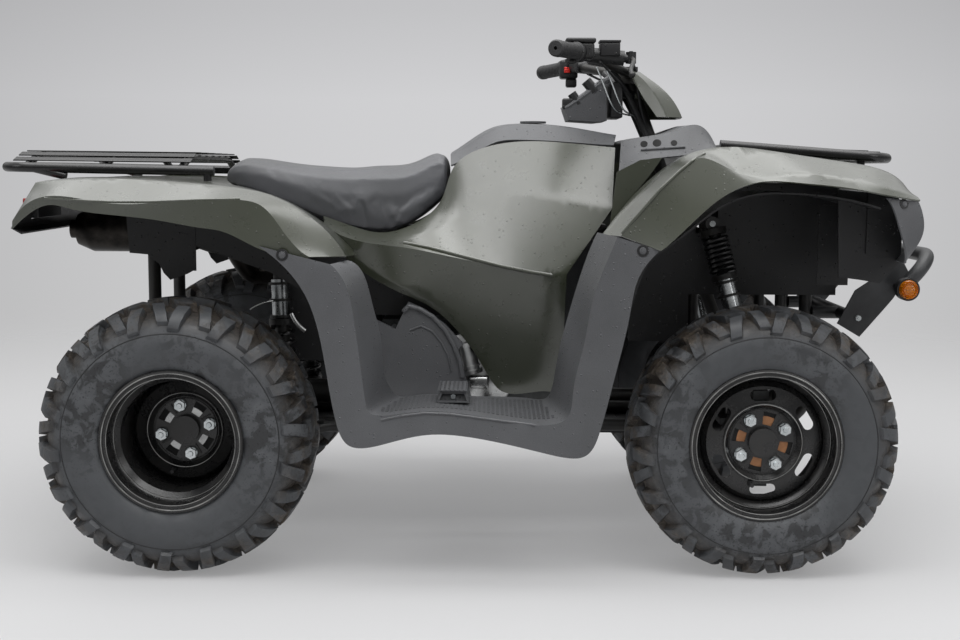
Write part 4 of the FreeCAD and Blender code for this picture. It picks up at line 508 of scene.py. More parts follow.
# %% Turning a bmesh into a piece
def piece_from(work, name, finish, body, corner_deg=35):
    """Makes an object of a bmesh, in place, riding on a body."""
    mesh = bpy.data.meshes.new(name)
    work.to_mesh(mesh)
    work.free()
    for polygon in mesh.polygons:
        polygon.use_smooth = True
    mesh.set_sharp_from_angle(angle=math.radians(corner_deg))
    made = bpy.data.objects.new(name, mesh)
    bpy.context.collection.objects.link(made)
    mesh.materials.append(finish)
    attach(made, body)
    return made


def merge_into(work, extra):
    """Adds one bmesh to another and frees it."""
    mesh = bpy.data.meshes.new("part")
    extra.to_mesh(mesh)
    extra.free()
    work.from_mesh(mesh)
    bpy.data.meshes.remove(mesh)


def middle_of(node):
    """The middle of a CAD part's box."""
    low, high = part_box(node)
    return (low + high) / 2


# %% Turned shapes
def spin_round(work, points, axis, steps):
    """Joins points into an outline and spins it once round an axis through the origin."""
    verts = [work.verts.new(point) for point in points]
    edges = [work.edges.new(pair) for pair in zip(verts, verts[1:])]
    bmesh.ops.spin(work, geom=verts + edges, cent=(0, 0, 0), axis=axis, dvec=(0, 0, 0),
                   angle=2 * math.pi, steps=steps, use_merge=True, use_duplicate=False)


def spun(work, outline, centre, steps=64):
    """Spins an outline of (radius, along) points about a line along Y through the centre."""
    turned = bmesh.new()
    spin_round(turned, [(r, s, 0.0) for r, s in outline], (0, 1, 0), steps)
    bmesh.ops.remove_doubles(turned, verts=turned.verts, dist=0.00001)
    bmesh.ops.recalc_face_normals(turned, faces=turned.faces)
    bmesh.ops.translate(turned, verts=turned.verts, vec=centre)
    merge_into(work, turned)


def bead_ring(work, radius, across, thick, centre):
    """A round bead laid round a line along Y."""
    corners = [k * math.pi / 4 for k in range(9)]
    spun(work, [(radius + thick * math.cos(a), across + thick * math.sin(a)) for a in corners], centre, 96)


def aimed(direction):
    """The turn that takes +Z to a direction."""
    return Vector(direction).to_track_quat("Z", "Y").to_matrix().to_4x4()


def add_turned(work, outline, start, direction, steps):
    """Spins an outline of (radius, along) points about a line from a start in a direction."""
    turned = bmesh.new()
    spin_round(turned, [(r, 0.0, s) for r, s in outline], (0, 0, 1), steps)
    bmesh.ops.recalc_face_normals(turned, faces=turned.faces)
    bmesh.ops.transform(turned, matrix=Matrix.Translation(start) @ aimed(direction), verts=turned.verts)
    merge_into(work, turned)


# %% Bars and blocks
def add_rod(work, start, end, dia, sides=20, taper=1.0):
    """A closed round bar between two points."""
    run = end - start
    bmesh.ops.create_cone(work, cap_ends=True, segments=sides, radius1=dia / 2, radius2=dia / 2 * taper,
                          depth=run.length, matrix=Matrix.Translation((start + end) / 2) @ aimed(run))


def round_edges(work, made, offset, segments):
    """Rounds every edge of a shape that was just made."""
    edges = list({e for v in made["verts"] for e in v.link_edges})
    bmesh.ops.bevel(work, geom=edges, offset=offset, segments=segments, profile=0.5,
                    affect="EDGES", material=-1, offset_type="OFFSET")


def add_block(work, low, high, round_mm=0.0, segments=2, base=(0, 0, 0)):
    """A box between two corners, counted from a base point, its edges rounded."""
    low = Vector(base) + Vector(low)
    high = Vector(base) + Vector(high)
    shape = Matrix.Translation((low + high) / 2) @ Matrix.Diagonal((*(high - low), 1.0))
    made = bmesh.ops.create_cube(work, size=1.0, matrix=shape)
    if round_mm:
        round_edges(work, made, round_mm * MM, segments)


print("piece helpers ready")

# %% [markdown]
# ## Tyres
# A quad's tyre is a low-pressure balloon with deep rubber blocks. The carcass is one outline spun
# round the axle. A lug is made flat first, as a block on a table, and then every point is carried
# onto the curved carcass: its place along the tread becomes an angle, its place across becomes a
# distance along the outline, and its height stands off the surface. One lug is then copied round.

# %% Tyre outline
# Pairs of (radius, distance from the middle), as shares of the wall's height and the half width.
carcass_shares = [(1.0, 0.0), (0.995, 0.20), (0.978, 0.42), (0.925, 0.62), (0.838, 0.77), (0.733, 0.875),
                  (0.615, 0.935), (0.55, 0.962), (0.42, 0.985), (0.28, 0.972), (0.14, 0.925), (0.0, 0.85)]
widest_share = 6


def along_outline(outline, distance):
    """The point and the outward direction at a distance along an outline."""
    for (r0, y0), (r1, y1) in zip(outline, outline[1:]):
        run = math.hypot(r1 - r0, y1 - y0)
        if distance <= run or (r1, y1) == outline[-1]:
            share = distance / run
            return r0 + (r1 - r0) * share, y0 + (y1 - y0) * share, (y1 - y0) / run, (r0 - r1) / run
        distance -= run


# %% One lug
root_depth = 0.002


def add_lug(work, outline, side, length, start, end, skew, height, draft, turn, rows, fall):
    """A tread block: a flat grid raised into a block, then carried onto the carcass."""
    lug = bmesh.new()
    depth = lug.verts.layers.float.new("depth")
    bmesh.ops.create_grid(lug, x_segments=2, y_segments=rows, size=0.5)
    top = bmesh.ops.extrude_face_region(lug, geom=list(lug.faces))
    raised = {v for v in top["geom"] if isinstance(v, bmesh.types.BMVert)}
    under = [f for f in lug.faces if all(v not in raised for v in f.verts)]
    bmesh.ops.delete(lug, geom=under, context="FACES_ONLY")
    radius = outline[0][0]
    for v in lug.verts:
        lifted = v in raised
        squeeze = 1 - draft if lifted else 1.0
        across = start + (v.co.y * squeeze + 0.5) * (end - start)
        r, y, nr, ny = along_outline(outline, across)
        share = (across - start) / (end - start)
        stand = height * (1 - fall * share * share) if lifted else -root_depth
        swing = turn + (v.co.x * length * squeeze + skew * share) / radius
        r += nr * stand
        y += ny * stand
        v.co = (r * math.sin(swing), side * y, r * math.cos(swing))
        v[depth] = 1.0 if lifted else 0.15
    merge_into(work, lug)


# %% Four tyres
# Each corner of the machine, with the side that it is on: -1 is the right and 1 is the left.
corners = {"front_right": -1, "front_left": 1, "rear_right": -1, "rear_left": 1}
lug_heights = {"front": 0.017, "rear": 0.019}
pitches = 18
bead_gap = 0.0005
bead_hook, bead_tuck = 0.012, 0.02
dark_ridge_thick = 0.0013
# The lugs of one pitch. Length and skew are shares of the pitch, start and end are shares of the half
# width, then come the draft, the turn as a share of the pitch, the rows, and the fall of the height.
lug_kinds = ((0.46, 0.30, 0.03, 0.50, 0.14, 0.0, 5, 0.0),
             (0.30, -0.16, 0.58, 1.03, 0.16, 0.30, 7, 0.62),
             (0.28, 0.20, 0.44, 0.93, 0.16, 0.68, 7, 0.55))


def wheel_piece(work, name, corner, finish, corner_deg=35):
    """A piece that turns with one wheel."""
    return piece_from(work, name + "_" + corner, finish, "wheel_" + corner, corner_deg)


def make_tyre(corner, lug_height):
    """A tyre with three kinds of lug each side, staggered from side to side."""
    low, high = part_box("tyre_" + corner)
    centre = (low + high) / 2
    radius = (high.x - low.x) / 2
    half = (high.y - low.y) / 2
    crown = radius - lug_height
    rim_low, rim_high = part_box("rim_" + corner)
    bead = (rim_high.x - rim_low.x) / 2 + bead_gap
    outline = [(bead + r * (crown - bead), y * (half - root_depth)) for r, y in carcass_shares]
    lip_r, lip_y = outline[-1]
    loop = [(lip_r - bead_hook, bead_tuck - lip_y)] + [(r, -y) for r, y in reversed(outline)]
    loop += outline[1:] + [(lip_r - bead_hook, lip_y - bead_tuck)]
    work = bmesh.new()
    work.verts.layers.float.new("depth")
    spin_round(work, [(0.0, y, r) for r, y in loop], (0, 1, 0), 96)
    bmesh.ops.recalc_face_normals(work, faces=work.faces)
    step = 2 * math.pi / pitches
    width = radius * step
    for side in (-1, 1):
        shift = step / 2 if side > 0 else 0.0
        for k in range(pitches):
            turn = k * step + shift
            for length, skew, start, end, draft, later, rows, fall in lug_kinds:
                add_lug(work, outline, side, width * length, half * start, half * end, width * skew,
                        lug_height, draft, turn + step * later, rows, fall)
    reach = work.verts.layers.float.new("reach")
    for v in work.verts:
        v[reach] = math.hypot(v.co.x, v.co.z) / radius
    bmesh.ops.translate(work, verts=work.verts, vec=centre)
    # A thin ridge round each wall at its widest, in the darker grip rubber: a raised ridge whose dark colour
    # is painted shade, the shadow line along it.
    line = bmesh.new()
    for side in (-1, 1):
        bead_ring(line, outline[widest_share][0], side * outline[widest_share][1], dark_ridge_thick, centre)
    wheel_piece(line, "ridge_painted_shade_line", corner, grip_rubber)
    return wheel_piece(work, "detailed_tyre", corner, tyre_rubber, 40)


for corner in corners:
    tyre = make_tyre(corner, lug_heights[corner.split("_")[0]])
    node = "tyre_" + corner
    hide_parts(node)
    print(tyre.name, len(tyre.data.polygons), "faces")


# %% [markdown]
# ## Wheel nuts
# Four zinc plated flange nuts hold each wheel. A flange nut is a hexagon standing on a round skirt,
# and the stud's end shows in its middle, so it is three stacked shapes.

# %% Flange nuts
# For each end: the disc's recess and the rim's width in mm, and the first nut's angle in degrees.
rim_sizes = {"front": (48, 168, 31), "rear": (150, 218, 12)}
nut_circle_radius = 0.055
nut_size = 0.0235


def add_flange_nut(work, seat, out, size):
    """A hexagon on a skirt, with the stud's end, standing on a seat."""
    add_rod(work, seat, seat + out * size * 0.16, size * 1.28, 24, 0.86)
    add_rod(work, seat + out * size * 0.14, seat + out * size * 0.62, size * 1.12, 6, 0.97)
    add_rod(work, seat + out * size * 0.60, seat + out * size * 0.74, size * 0.56, 16, 0.8)


def on_disc(corner, radius, angle_deg, out=0.0):
    """A point on the outer face of a rim's disc, or so far outside it."""
    recess, rim_width = rim_sizes[corner.split("_")[0]][:2]
    angle = math.radians(angle_deg)
    across = corners[corner] * ((rim_width / 2 - recess) * MM + out)
    return middle_of("rim_" + corner) + Vector((radius * math.cos(angle), across, radius * math.sin(angle)))


for corner, side in corners.items():
    first_nut = rim_sizes[corner.split("_")[0]][2]
    work = bmesh.new()
    for k in range(4):
        seat = on_disc(corner, nut_circle_radius, first_nut + 90 * k)
        add_flange_nut(work, seat, Vector((0, side, 0)), nut_size)
    wheel_piece(work, "flange_nuts", corner, zinc)
print("nuts on four wheels")


# %% [markdown]
# ## Rims' inner parts
# Through the holes of a rim the eye sees the hub. The front hubs are painted orange-brown against
# rust and the rear ones are bare. A thin ring right behind the face of the rim's disc, turning with
# the wheel, is enough, because only patches of it show. Further back a near-black disc is painted
# shade: it stands for the dark inside of the wheel in the rest of each hole. The rim's own edges are
# rolled, and a round bead along each edge gives the bright line that a rolled edge has. A thinner
# bead of pale metal on each edge is a painted highlight that brightens that line.

# %% Hub rings behind the rims
# Beads on a rim, in mm: distance from the rim's middle, radius and half thickness.
rim_beads = {"front": [(83.0, 161.0, 4.5), (83.6, 150.5, 2.6), (42.0, 146.5, 2.2), (47.5, 84.5, 3.0),
                       (36.4, 70.0, 1.6)],
             "rear": [(108.0, 149.0, 4.5), (108.6, 138.5, 2.6), (63.0, 134.5, 2.2), (-29.5, 84.5, 3.0),
                      (-40.6, 70.0, 1.6)]}
hub_faces = {"front": (0.056, orange_coat), "rear": (0.051, cast_alloy)}
hub_hole = 0.033
ring_depth, ring_thickness = -0.002, 0.001
# The near-black disc behind the hub ring is painted shade: its radius, its depth behind the disc's face and
# its thickness.
shade_disc_radius, shade_disc_depth, shade_disc_thickness = 0.070, -0.0031, 0.0008
# The pressed ribs between the nuts: where one starts and ends on the disc, its diameter, and its angle
# after a nut. The valve's place on the disc is a radius and an angle.
rib_start, rib_end, rib_dia, rib_turn = 0.040, 0.064, 0.0042, 19
valve_radius, valve_angle, valve_out = 0.094, -106, 0.008


def ring(work, inner, outer, thickness, middle, side):
    """A flat ring about the Y axis, its outer face at the middle and its body away from the side."""
    outline = [(inner, 0.0), (outer, 0.0), (outer, thickness), (inner, thickness), (inner, 0.0)]
    spun(work, [(r, -side * y) for r, y in outline], middle)


for corner, side in corners.items():
    end = corner.split("_")[0]
    centre = middle_of("rim_" + corner)
    beads = [Vector(bead) * MM for bead in rim_beads[end]]
    patch_radius, finish = hub_faces[end]
    work = bmesh.new()
    ring(work, hub_hole, patch_radius, ring_thickness, on_disc(corner, 0, 0, ring_depth), side)
    wheel_piece(work, "hub_ring", corner, finish)
    work = bmesh.new()
    ring(work, hub_hole, shade_disc_radius, shade_disc_thickness, on_disc(corner, 0, 0, shade_disc_depth), side)
    wheel_piece(work, "hub_painted_shade_disc", corner, shade_black_paint)
    work = bmesh.new()
    for across, radius, thick in beads:
        bead_ring(work, radius, side * across, thick, centre)
    for k in range(4):
        angle = rim_sizes[end][2] + 90 * k + rib_turn
        add_rod(work, on_disc(corner, rib_start, angle), on_disc(corner, rib_end, angle), rib_dia, 10)
    wheel_piece(work, "rolled_lips", corner, rim_paint)
    # Thin pale metal beads on the rolled edges: a painted highlight line along each edge.
    work = bmesh.new()
    for across, radius, thick in beads[:4]:
        bead_ring(work, radius - thick * 0.3, side * (across + thick * 0.62), thick * 0.42, centre)
    wheel_piece(work, "rim_painted_highlights", corner, rim_highlight_metal)
    work = bmesh.new()
    root = on_disc(corner, valve_radius, valve_angle, valve_out)
    add_rod(work, root, root + Vector((0, side * 0.014, 0)), 0.013, 20, 0.8)
    add_rod(work, root + Vector((0, side * 0.013, 0)), root + Vector((0, side * 0.026, 0)), 0.009, 16, 0.9)
    wheel_piece(work, "valve", corner, grip_rubber)
print("hub rings ready")


# %% [markdown]
# ## Shock absorbers
# A coil spring is a circle swept along a screw line: spin with a step along the axis does exactly
# that. The spring stands between two cups on a damper, whose silver body shows below it.

# %% Spring
def add_spring(work, start, end, dia, wire, turns):
    """A coil from start to end, with its wire's centre on a screw line."""
    run = end - start
    coil = bmesh.new()
    steps = 20
    offset = Matrix.Translation(((dia - wire) / 2, 0, 0)) @ Matrix.Rotation(math.pi / 2, 4, "X")
    made = bmesh.ops.create_circle(coil, segments=8, radius=wire / 2, matrix=offset)
    rim_edges = list({e for v in made["verts"] for e in v.link_edges})
    bmesh.ops.spin(coil, geom=made["verts"] + rim_edges, cent=(0, 0, 0), axis=(0, 0, 1),
                   dvec=(0, 0, run.length / (turns * steps)), angle=2 * math.pi * turns, steps=turns * steps,
                   use_merge=False, use_duplicate=False)
    bmesh.ops.holes_fill(coil, edges=[e for e in coil.edges if e.is_boundary], sides=0)
    bmesh.ops.recalc_face_normals(coil, faces=coil.faces)
    bmesh.ops.transform(coil, matrix=Matrix.Translation(start) @ aimed(run), verts=coil.verts)
    merge_into(work, coil)


# %% Shock absorbers
damper_dia, sleeve_dia, fin_dia, neck_dia = 0.042, 0.032, 0.054, 0.028
coil_dia, wire_dia, cup_dia = 0.062, 0.0095, 0.060
eye_dia, pin_dia, eye_reach = 0.033, 0.014, 0.020


def make_shocks(name, feet, heads, coil_span, bright_span, coils_count=8):
    """Dampers, springs and end rings for both sides. The springs stand in for the CAD part."""
    steel = bmesh.new()
    coils = bmesh.new()
    cups = bmesh.new()
    across = Vector((0, eye_reach, 0))
    for foot, head in zip(feet, heads):
        run = head - foot
        out = run.normalized()
        low, high = [foot + run * share for share in coil_span]
        add_rod(steel, foot + run * bright_span[0], foot + run * bright_span[1], damper_dia, 28)
        add_rod(cups, foot + out * 0.010, head - out * 0.010, sleeve_dia, 20)
        for k in range(3):
            spot = foot + run * (bright_span[1] - 0.03 - 0.09 * k)
            add_rod(cups, spot, spot + out * 0.006, fin_dia, 28)
        add_spring(coils, low + out * 0.006, high - out * 0.006, coil_dia, wire_dia, coils_count)
        add_rod(cups, low - out * 0.008, low + out * 0.004, cup_dia, 28)
        add_rod(cups, high - out * 0.004, high + out * 0.010, cup_dia, 28)
        add_rod(cups, head - out * 0.040, head - out * 0.008, neck_dia, 20, 0.8)
        for eye in (foot, head):
            add_rod(cups, eye - across, eye + across, eye_dia, 24)
            add_rod(steel, eye - across * 1.04, eye + across * 1.04, pin_dia, 16)
    piece_from(steel, name + "_dampers", shock_chrome, "chassis")
    piece_from(cups, name + "_cups", frame_coat, "chassis")
    springs = piece_from(coils, name + "_springs", rack_coat, "chassis")
    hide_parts(name)


eye_radius = 0.017
low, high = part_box("front_shocks")
make_shocks("front_shocks",
            [Vector((high.x - eye_radius, side * (high.y - eye_reach), low.z + eye_radius))
             for side in (-1, 1)],
            [Vector((low.x + eye_radius, side * 0.215, high.z - eye_radius)) for side in (-1, 1)],
            (0.64, 0.93), (0.04, 0.62))
low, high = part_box("rear_shocks")
make_shocks("rear_shocks",
            [Vector((-0.444, side * (high.y - eye_reach), low.z + eye_radius)) for side in (-1, 1)],
            [Vector((-0.462, side * 0.205, high.z - eye_radius)) for side in (-1, 1)],
            (0.10, 0.56), (0.60, 0.80))
print("shocks ready")


# %% [markdown]
# ## Drive shaft boots
# A rubber bellows keeps grease in each joint of a drive shaft. Its outline is a row of pleats, each
# a little smaller than the last, and one spin makes the tube.

# %% Bellows
def add_bellows(work, start, end, dia_start, dia_end, pleats):
    """A pleated rubber tube between two points."""
    run = end - start
    outline = [(0.004, 0.0)]
    for k in range(2 * pleats + 1):
        share = k / (2 * pleats)
        radius = (dia_start + (dia_end - dia_start) * share) / 2
        outline.append((radius * (1.06 if k % 2 == 0 else 0.84), share * run.length))
    add_turned(work, outline + [(0.004, run.length)], start, run, 28)


boots = bmesh.new()
for end, reach in (("front", 0.365), ("rear", 0.318)):
    centre = middle_of("tyre_" + end + "_right")
    for side in (-1, 1):
        near = Vector((centre.x, side * 0.070, centre.z + 0.022))
        far = Vector((centre.x, side * reach, centre.z))
        out = (far - near).normalized()
        add_bellows(boots, near, near + out * 0.085, 0.077, 0.036, 6)
        add_bellows(boots, far - out * 0.002, far - out * 0.087, 0.064, 0.035, 5)
piece_from(boots, "drive_boots", grip_rubber, "chassis", 60)
print("boots ready")


# %% [markdown]
# ## Handlebar grips
# A moulded rubber grip has a flange at its inner end, rows of raised rings along it and a small hole
# in its outer end. All of these are round, so they are one outline, spun about the bar.

# %% Grips
bar_ends = [Vector((0.178, side * 0.375, 1.140)) for side in (-1, 1)]
bar_necks = [Vector((0.252, side * 0.199, 1.144)) for side in (-1, 1)]
ring_pitch = 0.0092
grip_outline = [(0.004, 0.002), (0.004, -0.012), (0.0155, -0.012), (0.0186, -0.008), (0.0190, 0.006),
                (0.0168, 0.009)]
place = 0.010
while place < 0.112:
    grip_outline += [(0.0162, place), (0.0180, place + 0.0010), (0.0180, place + 0.0056),
                     (0.0162, place + 0.0066)]
    place += ring_pitch
grip_outline += [(0.0175, 0.117), (0.0218, 0.120), (0.0222, 0.126), (0.0195, 0.128), (0.0112, 0.128)]
grips = bmesh.new()
for end, neck in zip(bar_ends, bar_necks):
    add_turned(grips, grip_outline, end, neck - end, 36)
grip_piece = piece_from(grips, "ribbed_grips", grip_rubber, "steering")
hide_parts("grips")
print("grips ready")


# %% [markdown]
# ## Brake levers, reservoirs and switches
# Each brake lever pivots in a perch that clamps the bar, with the brake fluid in a small box above.
# The right side has the thumb throttle and the left side has the switches, with the red stop
# switch. The lever is a curve with a bevel: it bends towards its tip like the cast one.

# %% Curved tubes
def add_tube(work, points, dia, resolution=8):
    """A round tube along a smooth line."""
    curve = bpy.data.curves.new("tube", "CURVE")
    curve.dimensions = "3D"
    line = curve.splines.new("NURBS")
    line.points.add(len(points) - 1)
    for point, place in zip(line.points, points):
        point.co = (*place, 1.0)
    line.order_u = 3
    line.use_endpoint_u = True
    curve.bevel_depth = dia / 2
    curve.bevel_resolution = 3
    curve.resolution_u = resolution
    curve.use_fill_caps = True
    carrier = bpy.data.objects.new("tube", curve)
    mesh = bpy.data.meshes.new_from_object(carrier)
    work.from_mesh(mesh)
    bpy.data.objects.remove(carrier)
    bpy.data.curves.remove(curve)
    bpy.data.meshes.remove(mesh)


# %% Perches and levers
case = bmesh.new()
levers = bmesh.new()
up = Vector((0, 0, 1))
ahead = Vector((1, 0, 0))
# The lever's line: how far inward, forward and up from its pivot.
lever_line = ((0, 0, 0), (0.030, 0.016, -0.004), (0.085, 0.030, -0.016), (0.130, 0.036, -0.034),
              (0.152, 0.048, -0.044))
box_middles = []
for end, neck in zip(bar_ends, bar_necks):
    inward = (neck - end).normalized()
    start = end + inward * 0.129
    clamp = end + inward * 0.205
    box_middles.append(start + inward * 0.026)
    add_rod(case, start, start + inward * 0.030, 0.043, 36)
    add_rod(case, start + inward * 0.008, start + inward * 0.022, 0.0455, 36)
    add_rod(case, start + inward * 0.030, start + inward * 0.052, 0.034, 28)
    pivot = clamp + ahead * 0.100 - up * 0.010
    add_rod(case, clamp - up * 0.002, pivot - ahead * 0.016, 0.034, 28)
    add_rod(case, clamp - inward * 0.014, clamp + inward * 0.014, 0.036, 28)
    add_rod(case, pivot - ahead * 0.024, pivot, 0.020, 20)
    add_rod(case, pivot - up * 0.012, pivot + up * 0.014, 0.024, 24)
    add_rod(levers, pivot - up * 0.013, pivot + up * 0.016, 0.009, 16)
    tank = clamp + ahead * 0.050 - up * 0.012
    add_block(case, (-0.023, -0.024, 0.006), (0.023, 0.024, 0.036), 3, 3, tank)
    add_block(case, (-0.0245, -0.0255, 0.0362), (0.0245, 0.0255, 0.0415), 1.5, 2, tank)
    reach = [pivot - inward * i + ahead * f + up * z for i, f, z in lever_line]
    add_tube(levers, reach, 0.0105, 10)
    bmesh.ops.create_uvsphere(levers, u_segments=14, v_segments=8, radius=0.0075,
                              matrix=Matrix.Translation(reach[-1]))

# %% Throttle box on the right, switch box on the left
throttle, switches = box_middles
buttons = bmesh.new()
add_block(case, (-0.032, -0.026, -0.016), (0.030, 0.026, 0.022), 8, 4, throttle)
add_block(case, (-0.035, -0.029, 0.0200), (0.033, 0.029, 0.0310), 4, 3, throttle)
thumb_line = ((-0.004, -0.014, -0.014), (-0.014, -0.026, -0.020), (-0.026, -0.046, -0.026),
              (-0.034, -0.062, -0.024))
add_tube(levers, [throttle + Vector(step) for step in thumb_line], 0.011, 8)
add_block(case, (-0.024, -0.026, -0.030), (0.022, 0.026, 0.018), 6, 4, switches)
add_block(buttons, (-0.014, -0.0300, -0.016), (0.002, -0.0255, -0.001), 1.5, 2, switches)
add_block(buttons, (0.0215, -0.018, -0.002), (0.0255, -0.006, 0.012), 1.5, 2, switches)
add_block(case, (-0.008, -0.016, -0.052), (0.020, 0.014, -0.029), 5, 3, switches)
controls = piece_from(case, "lever_perches", black_plastic, "steering")
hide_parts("controls")
piece_from(levers, "brake_levers", frame_coat, "steering")
piece_from(buttons, "stop_switch", red_button, "steering")

# %% [markdown]
# ## Cables and the meter pod
# Four black cables and two hoses come from the levers and switches and run down along the stem. Two
# bright wires hang in front of the pod. A curve with a round bevel makes each, and all of them turn
# with the bar. A bracket holds the pod on the stem, and a rounded rim runs along its face.

# %% Cables along the stem
cables = bmesh.new()
zinc_cables = bmesh.new()
routes = (
    (0.0075, [(0.300, -0.190, 1.135), (0.345, -0.150, 1.150), (0.385, -0.060, 1.120), (0.395, -0.034, 1.030),
              (0.420, -0.030, 0.960)]),
    (0.0075, [(0.300, 0.190, 1.135), (0.345, 0.150, 1.150), (0.385, 0.060, 1.120), (0.397, 0.034, 1.030),
              (0.422, 0.030, 0.960)]),
    (0.0055, [(0.285, -0.205, 1.125), (0.320, -0.120, 1.100), (0.365, -0.046, 1.070), (0.385, -0.036, 1.010),
              (0.410, -0.036, 0.955)]),
    (0.0060, [(0.285, 0.205, 1.125), (0.320, 0.120, 1.100), (0.365, 0.046, 1.070), (0.385, 0.038, 1.010),
              (0.410, 0.038, 0.955)]),
)
for dia, route in routes:
    add_tube(cables, route, dia, 14)
for side in (-1, 1):
    add_tube(cables, [(0.318, side * 0.085, 1.118), (0.350, side * 0.044, 1.085),
                      (0.392, side * 0.034, 1.010), (0.418, side * 0.030, 0.945)], 0.016, 14)
for x in (0.0, 0.021):
    add_tube(zinc_cables, [(0.285 + x, -0.105, 1.120), (0.296 + x, -0.098, 1.096), (0.322 + x, -0.088, 1.032),
                           (0.342 + x, -0.070, 1.010), (0.404, -0.012, 1.006)], 0.0042, 14)

# %% Pod bracket and bezel
pod_back = bmesh.new()
bezel = bmesh.new()
add_block(pod_back, (0.322, -0.066, 1.002), (0.352, 0.066, 1.088), 4, 3)
for side in (-1, 1):
    add_rod(pod_back, Vector((0.348, side * 0.034, 1.060)), Vector((0.386, side * 0.012, 1.060)), 0.016, 16)
    add_tube(bezel, [(0.213, side * 0.073, 1.024), (0.262, side * 0.073, 1.055), (0.292, side * 0.073, 1.082),
                     (0.318, side * 0.073, 1.094)], 0.017, 10)
add_block(pod_back, (0.206, -0.080, 1.022), (0.232, -0.050, 1.048), 4, 3)
add_rod(pod_back, Vector((0.246, -0.070, 1.034)), Vector((0.228, -0.070, 1.060)), 0.022, 20)
add_rod(pod_back, Vector((0.284, -0.070, 1.064)), Vector((0.262, -0.070, 1.090)), 0.026, 20)
piece_from(pod_back, "pod_bracket", black_plastic, "steering")
piece_from(zinc_cables, "brake_cables", zinc, "steering")
piece_from(bezel, "pod_bezel", grey_plastic, "steering")
piece_from(cables, "control_cables", grip_rubber, "steering")
print("controls ready")


# %% [markdown]
# ## Lamps
# A lamp is a dark housing, a mirrored bowl and a clear lens. The CAD block holds its place; these
# pieces show what is inside. From the side only the housing shows, so the lens covers just the
# front of the block.

# %% Headlights
low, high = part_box("headlights")
housing = bmesh.new()
glass = bmesh.new()
bowls = bmesh.new()
front = high.x - 0.014
level = (low.z + high.z) / 2
for side in (-1, 1):
    inner, outer = sorted((side * 0.2505, side * high.y))
    add_block(housing, (low.x, inner, low.z), (front - 0.020, outer, high.z), 4)
    add_block(glass, (front - 0.019, inner + 0.002, low.z + 0.004),
              (high.x - 0.004, outer - 0.002, high.z - 0.010), 9, 4)
    for share in (0.30, 0.70):
        y = inner + (outer - inner) * share
        add_rod(bowls, Vector((front - 0.032, y, level)), Vector((front - 0.012, y, level)), 0.030, 32, 1.6)
lamp_housing = piece_from(housing, "headlight_housings", black_plastic, "chassis")
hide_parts("headlights")
piece_from(glass, "headlight_lenses", clear_lens, "chassis")
piece_from(bowls, "headlight_bowls", reflector, "chassis")

# %% Tail lamps
low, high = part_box("tail_lamps")
red = bmesh.new()
backs = bmesh.new()
for side in (-1, 1):
    inner, outer = sorted((side * 0.2905, side * high.y))
    add_block(red, (low.x, inner, low.z), (low.x + 0.012, outer, high.z), 3, 3)
    add_block(backs, (low.x + 0.0125, inner + 0.001, low.z + 0.001),
              (high.x, outer - 0.001, high.z - 0.001), 3, 3)
red_lamps = piece_from(red, "tail_lamp_lenses", red_lens, "chassis")
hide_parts("tail_lamps")
piece_from(backs, "tail_lamp_housings", black_plastic, "chassis")

# %% Turn lamps
low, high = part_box("turn_lamps")
middle = (low + high) / 2
amber = bmesh.new()
bezels = bmesh.new()
lens = [(0.0005, 0.0), (0.010, -0.0006), (0.017, -0.003), (0.0215, -0.008), (0.0225, -0.015),
        (0.0225, -0.020)]
for side in (-1, 1):
    face = Vector((middle.x, side * high.y, middle.z))
    out = Vector((0, side, 0))
    spun(amber, [(r, side * s) for r, s in lens], face)
    for radius in (0.007, 0.013, 0.018):
        flute = [(radius, -0.003), (radius + 0.001, 0.0004), (radius + 0.002, -0.003)]
        spun(amber, [(r, side * s) for r, s in flute], face)
    add_rod(bezels, face - out * 0.0340, face - out * 0.010, 0.0515, 40)
    add_rod(bezels, face - out * (high.y - 0.2365), face - out * 0.032, 0.020, 20)
bezel = piece_from(bezels, "turn_lamp_bezels", black_plastic, "chassis")
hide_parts("turn_lamps")
piece_from(amber, "turn_lamp_lenses", amber_lens, "chassis")
print("lamps ready")


# %% [markdown]
# ## Small fixings
# Push plugs and bolts hold the panels. Each is placed where the photograph shows it: a ray from the
# photograph's viewpoint through that pixel finds the panel, and the fixing is set on the surface
# along its normal. The same fixing goes on the other side of the machine too.

# %% Finding a place on a panel
def surface_tree(names):
    """A search tree over the triangles of some CAD parts."""
    points = []
    faces = []
    for name in names:
        mesh = nodes[name].data
        base = len(points)
        points += [v.co.copy() for v in mesh.vertices]
        faces += [[base + i for i in polygon.vertices] for polygon in mesh.polygons]
    return BVHTree.FromPolygons(points, faces)


def behind_pixel(tree, px, py):
    """Where the ray through a pixel of the photograph meets the parts, and the outward normal there."""
    ray = Vector((px - image_width / 2, image_height / 2 - py, -focal_px)).normalized()
    direction = camera_turn.to_3x3() @ ray
    spot, normal = tree.ray_cast(Vector(camera_place), direction)[:2]
    if spot is None:
        return None, None
    return spot, normal if normal.dot(direction) < 0 else -normal


def flipped(vector):
    """The same place on the other side of the machine."""
    return Vector((vector.x, -vector.y, vector.z))


def both_sides(tree, marks):
    """The place, the outward normal and the size of each marked fixing, on both sides."""
    for px, py, dia_mm in marks:
        spot, normal = behind_pixel(tree, px, py)
        yield spot, normal, dia_mm * MM
        yield flipped(spot), flipped(normal), dia_mm * MM


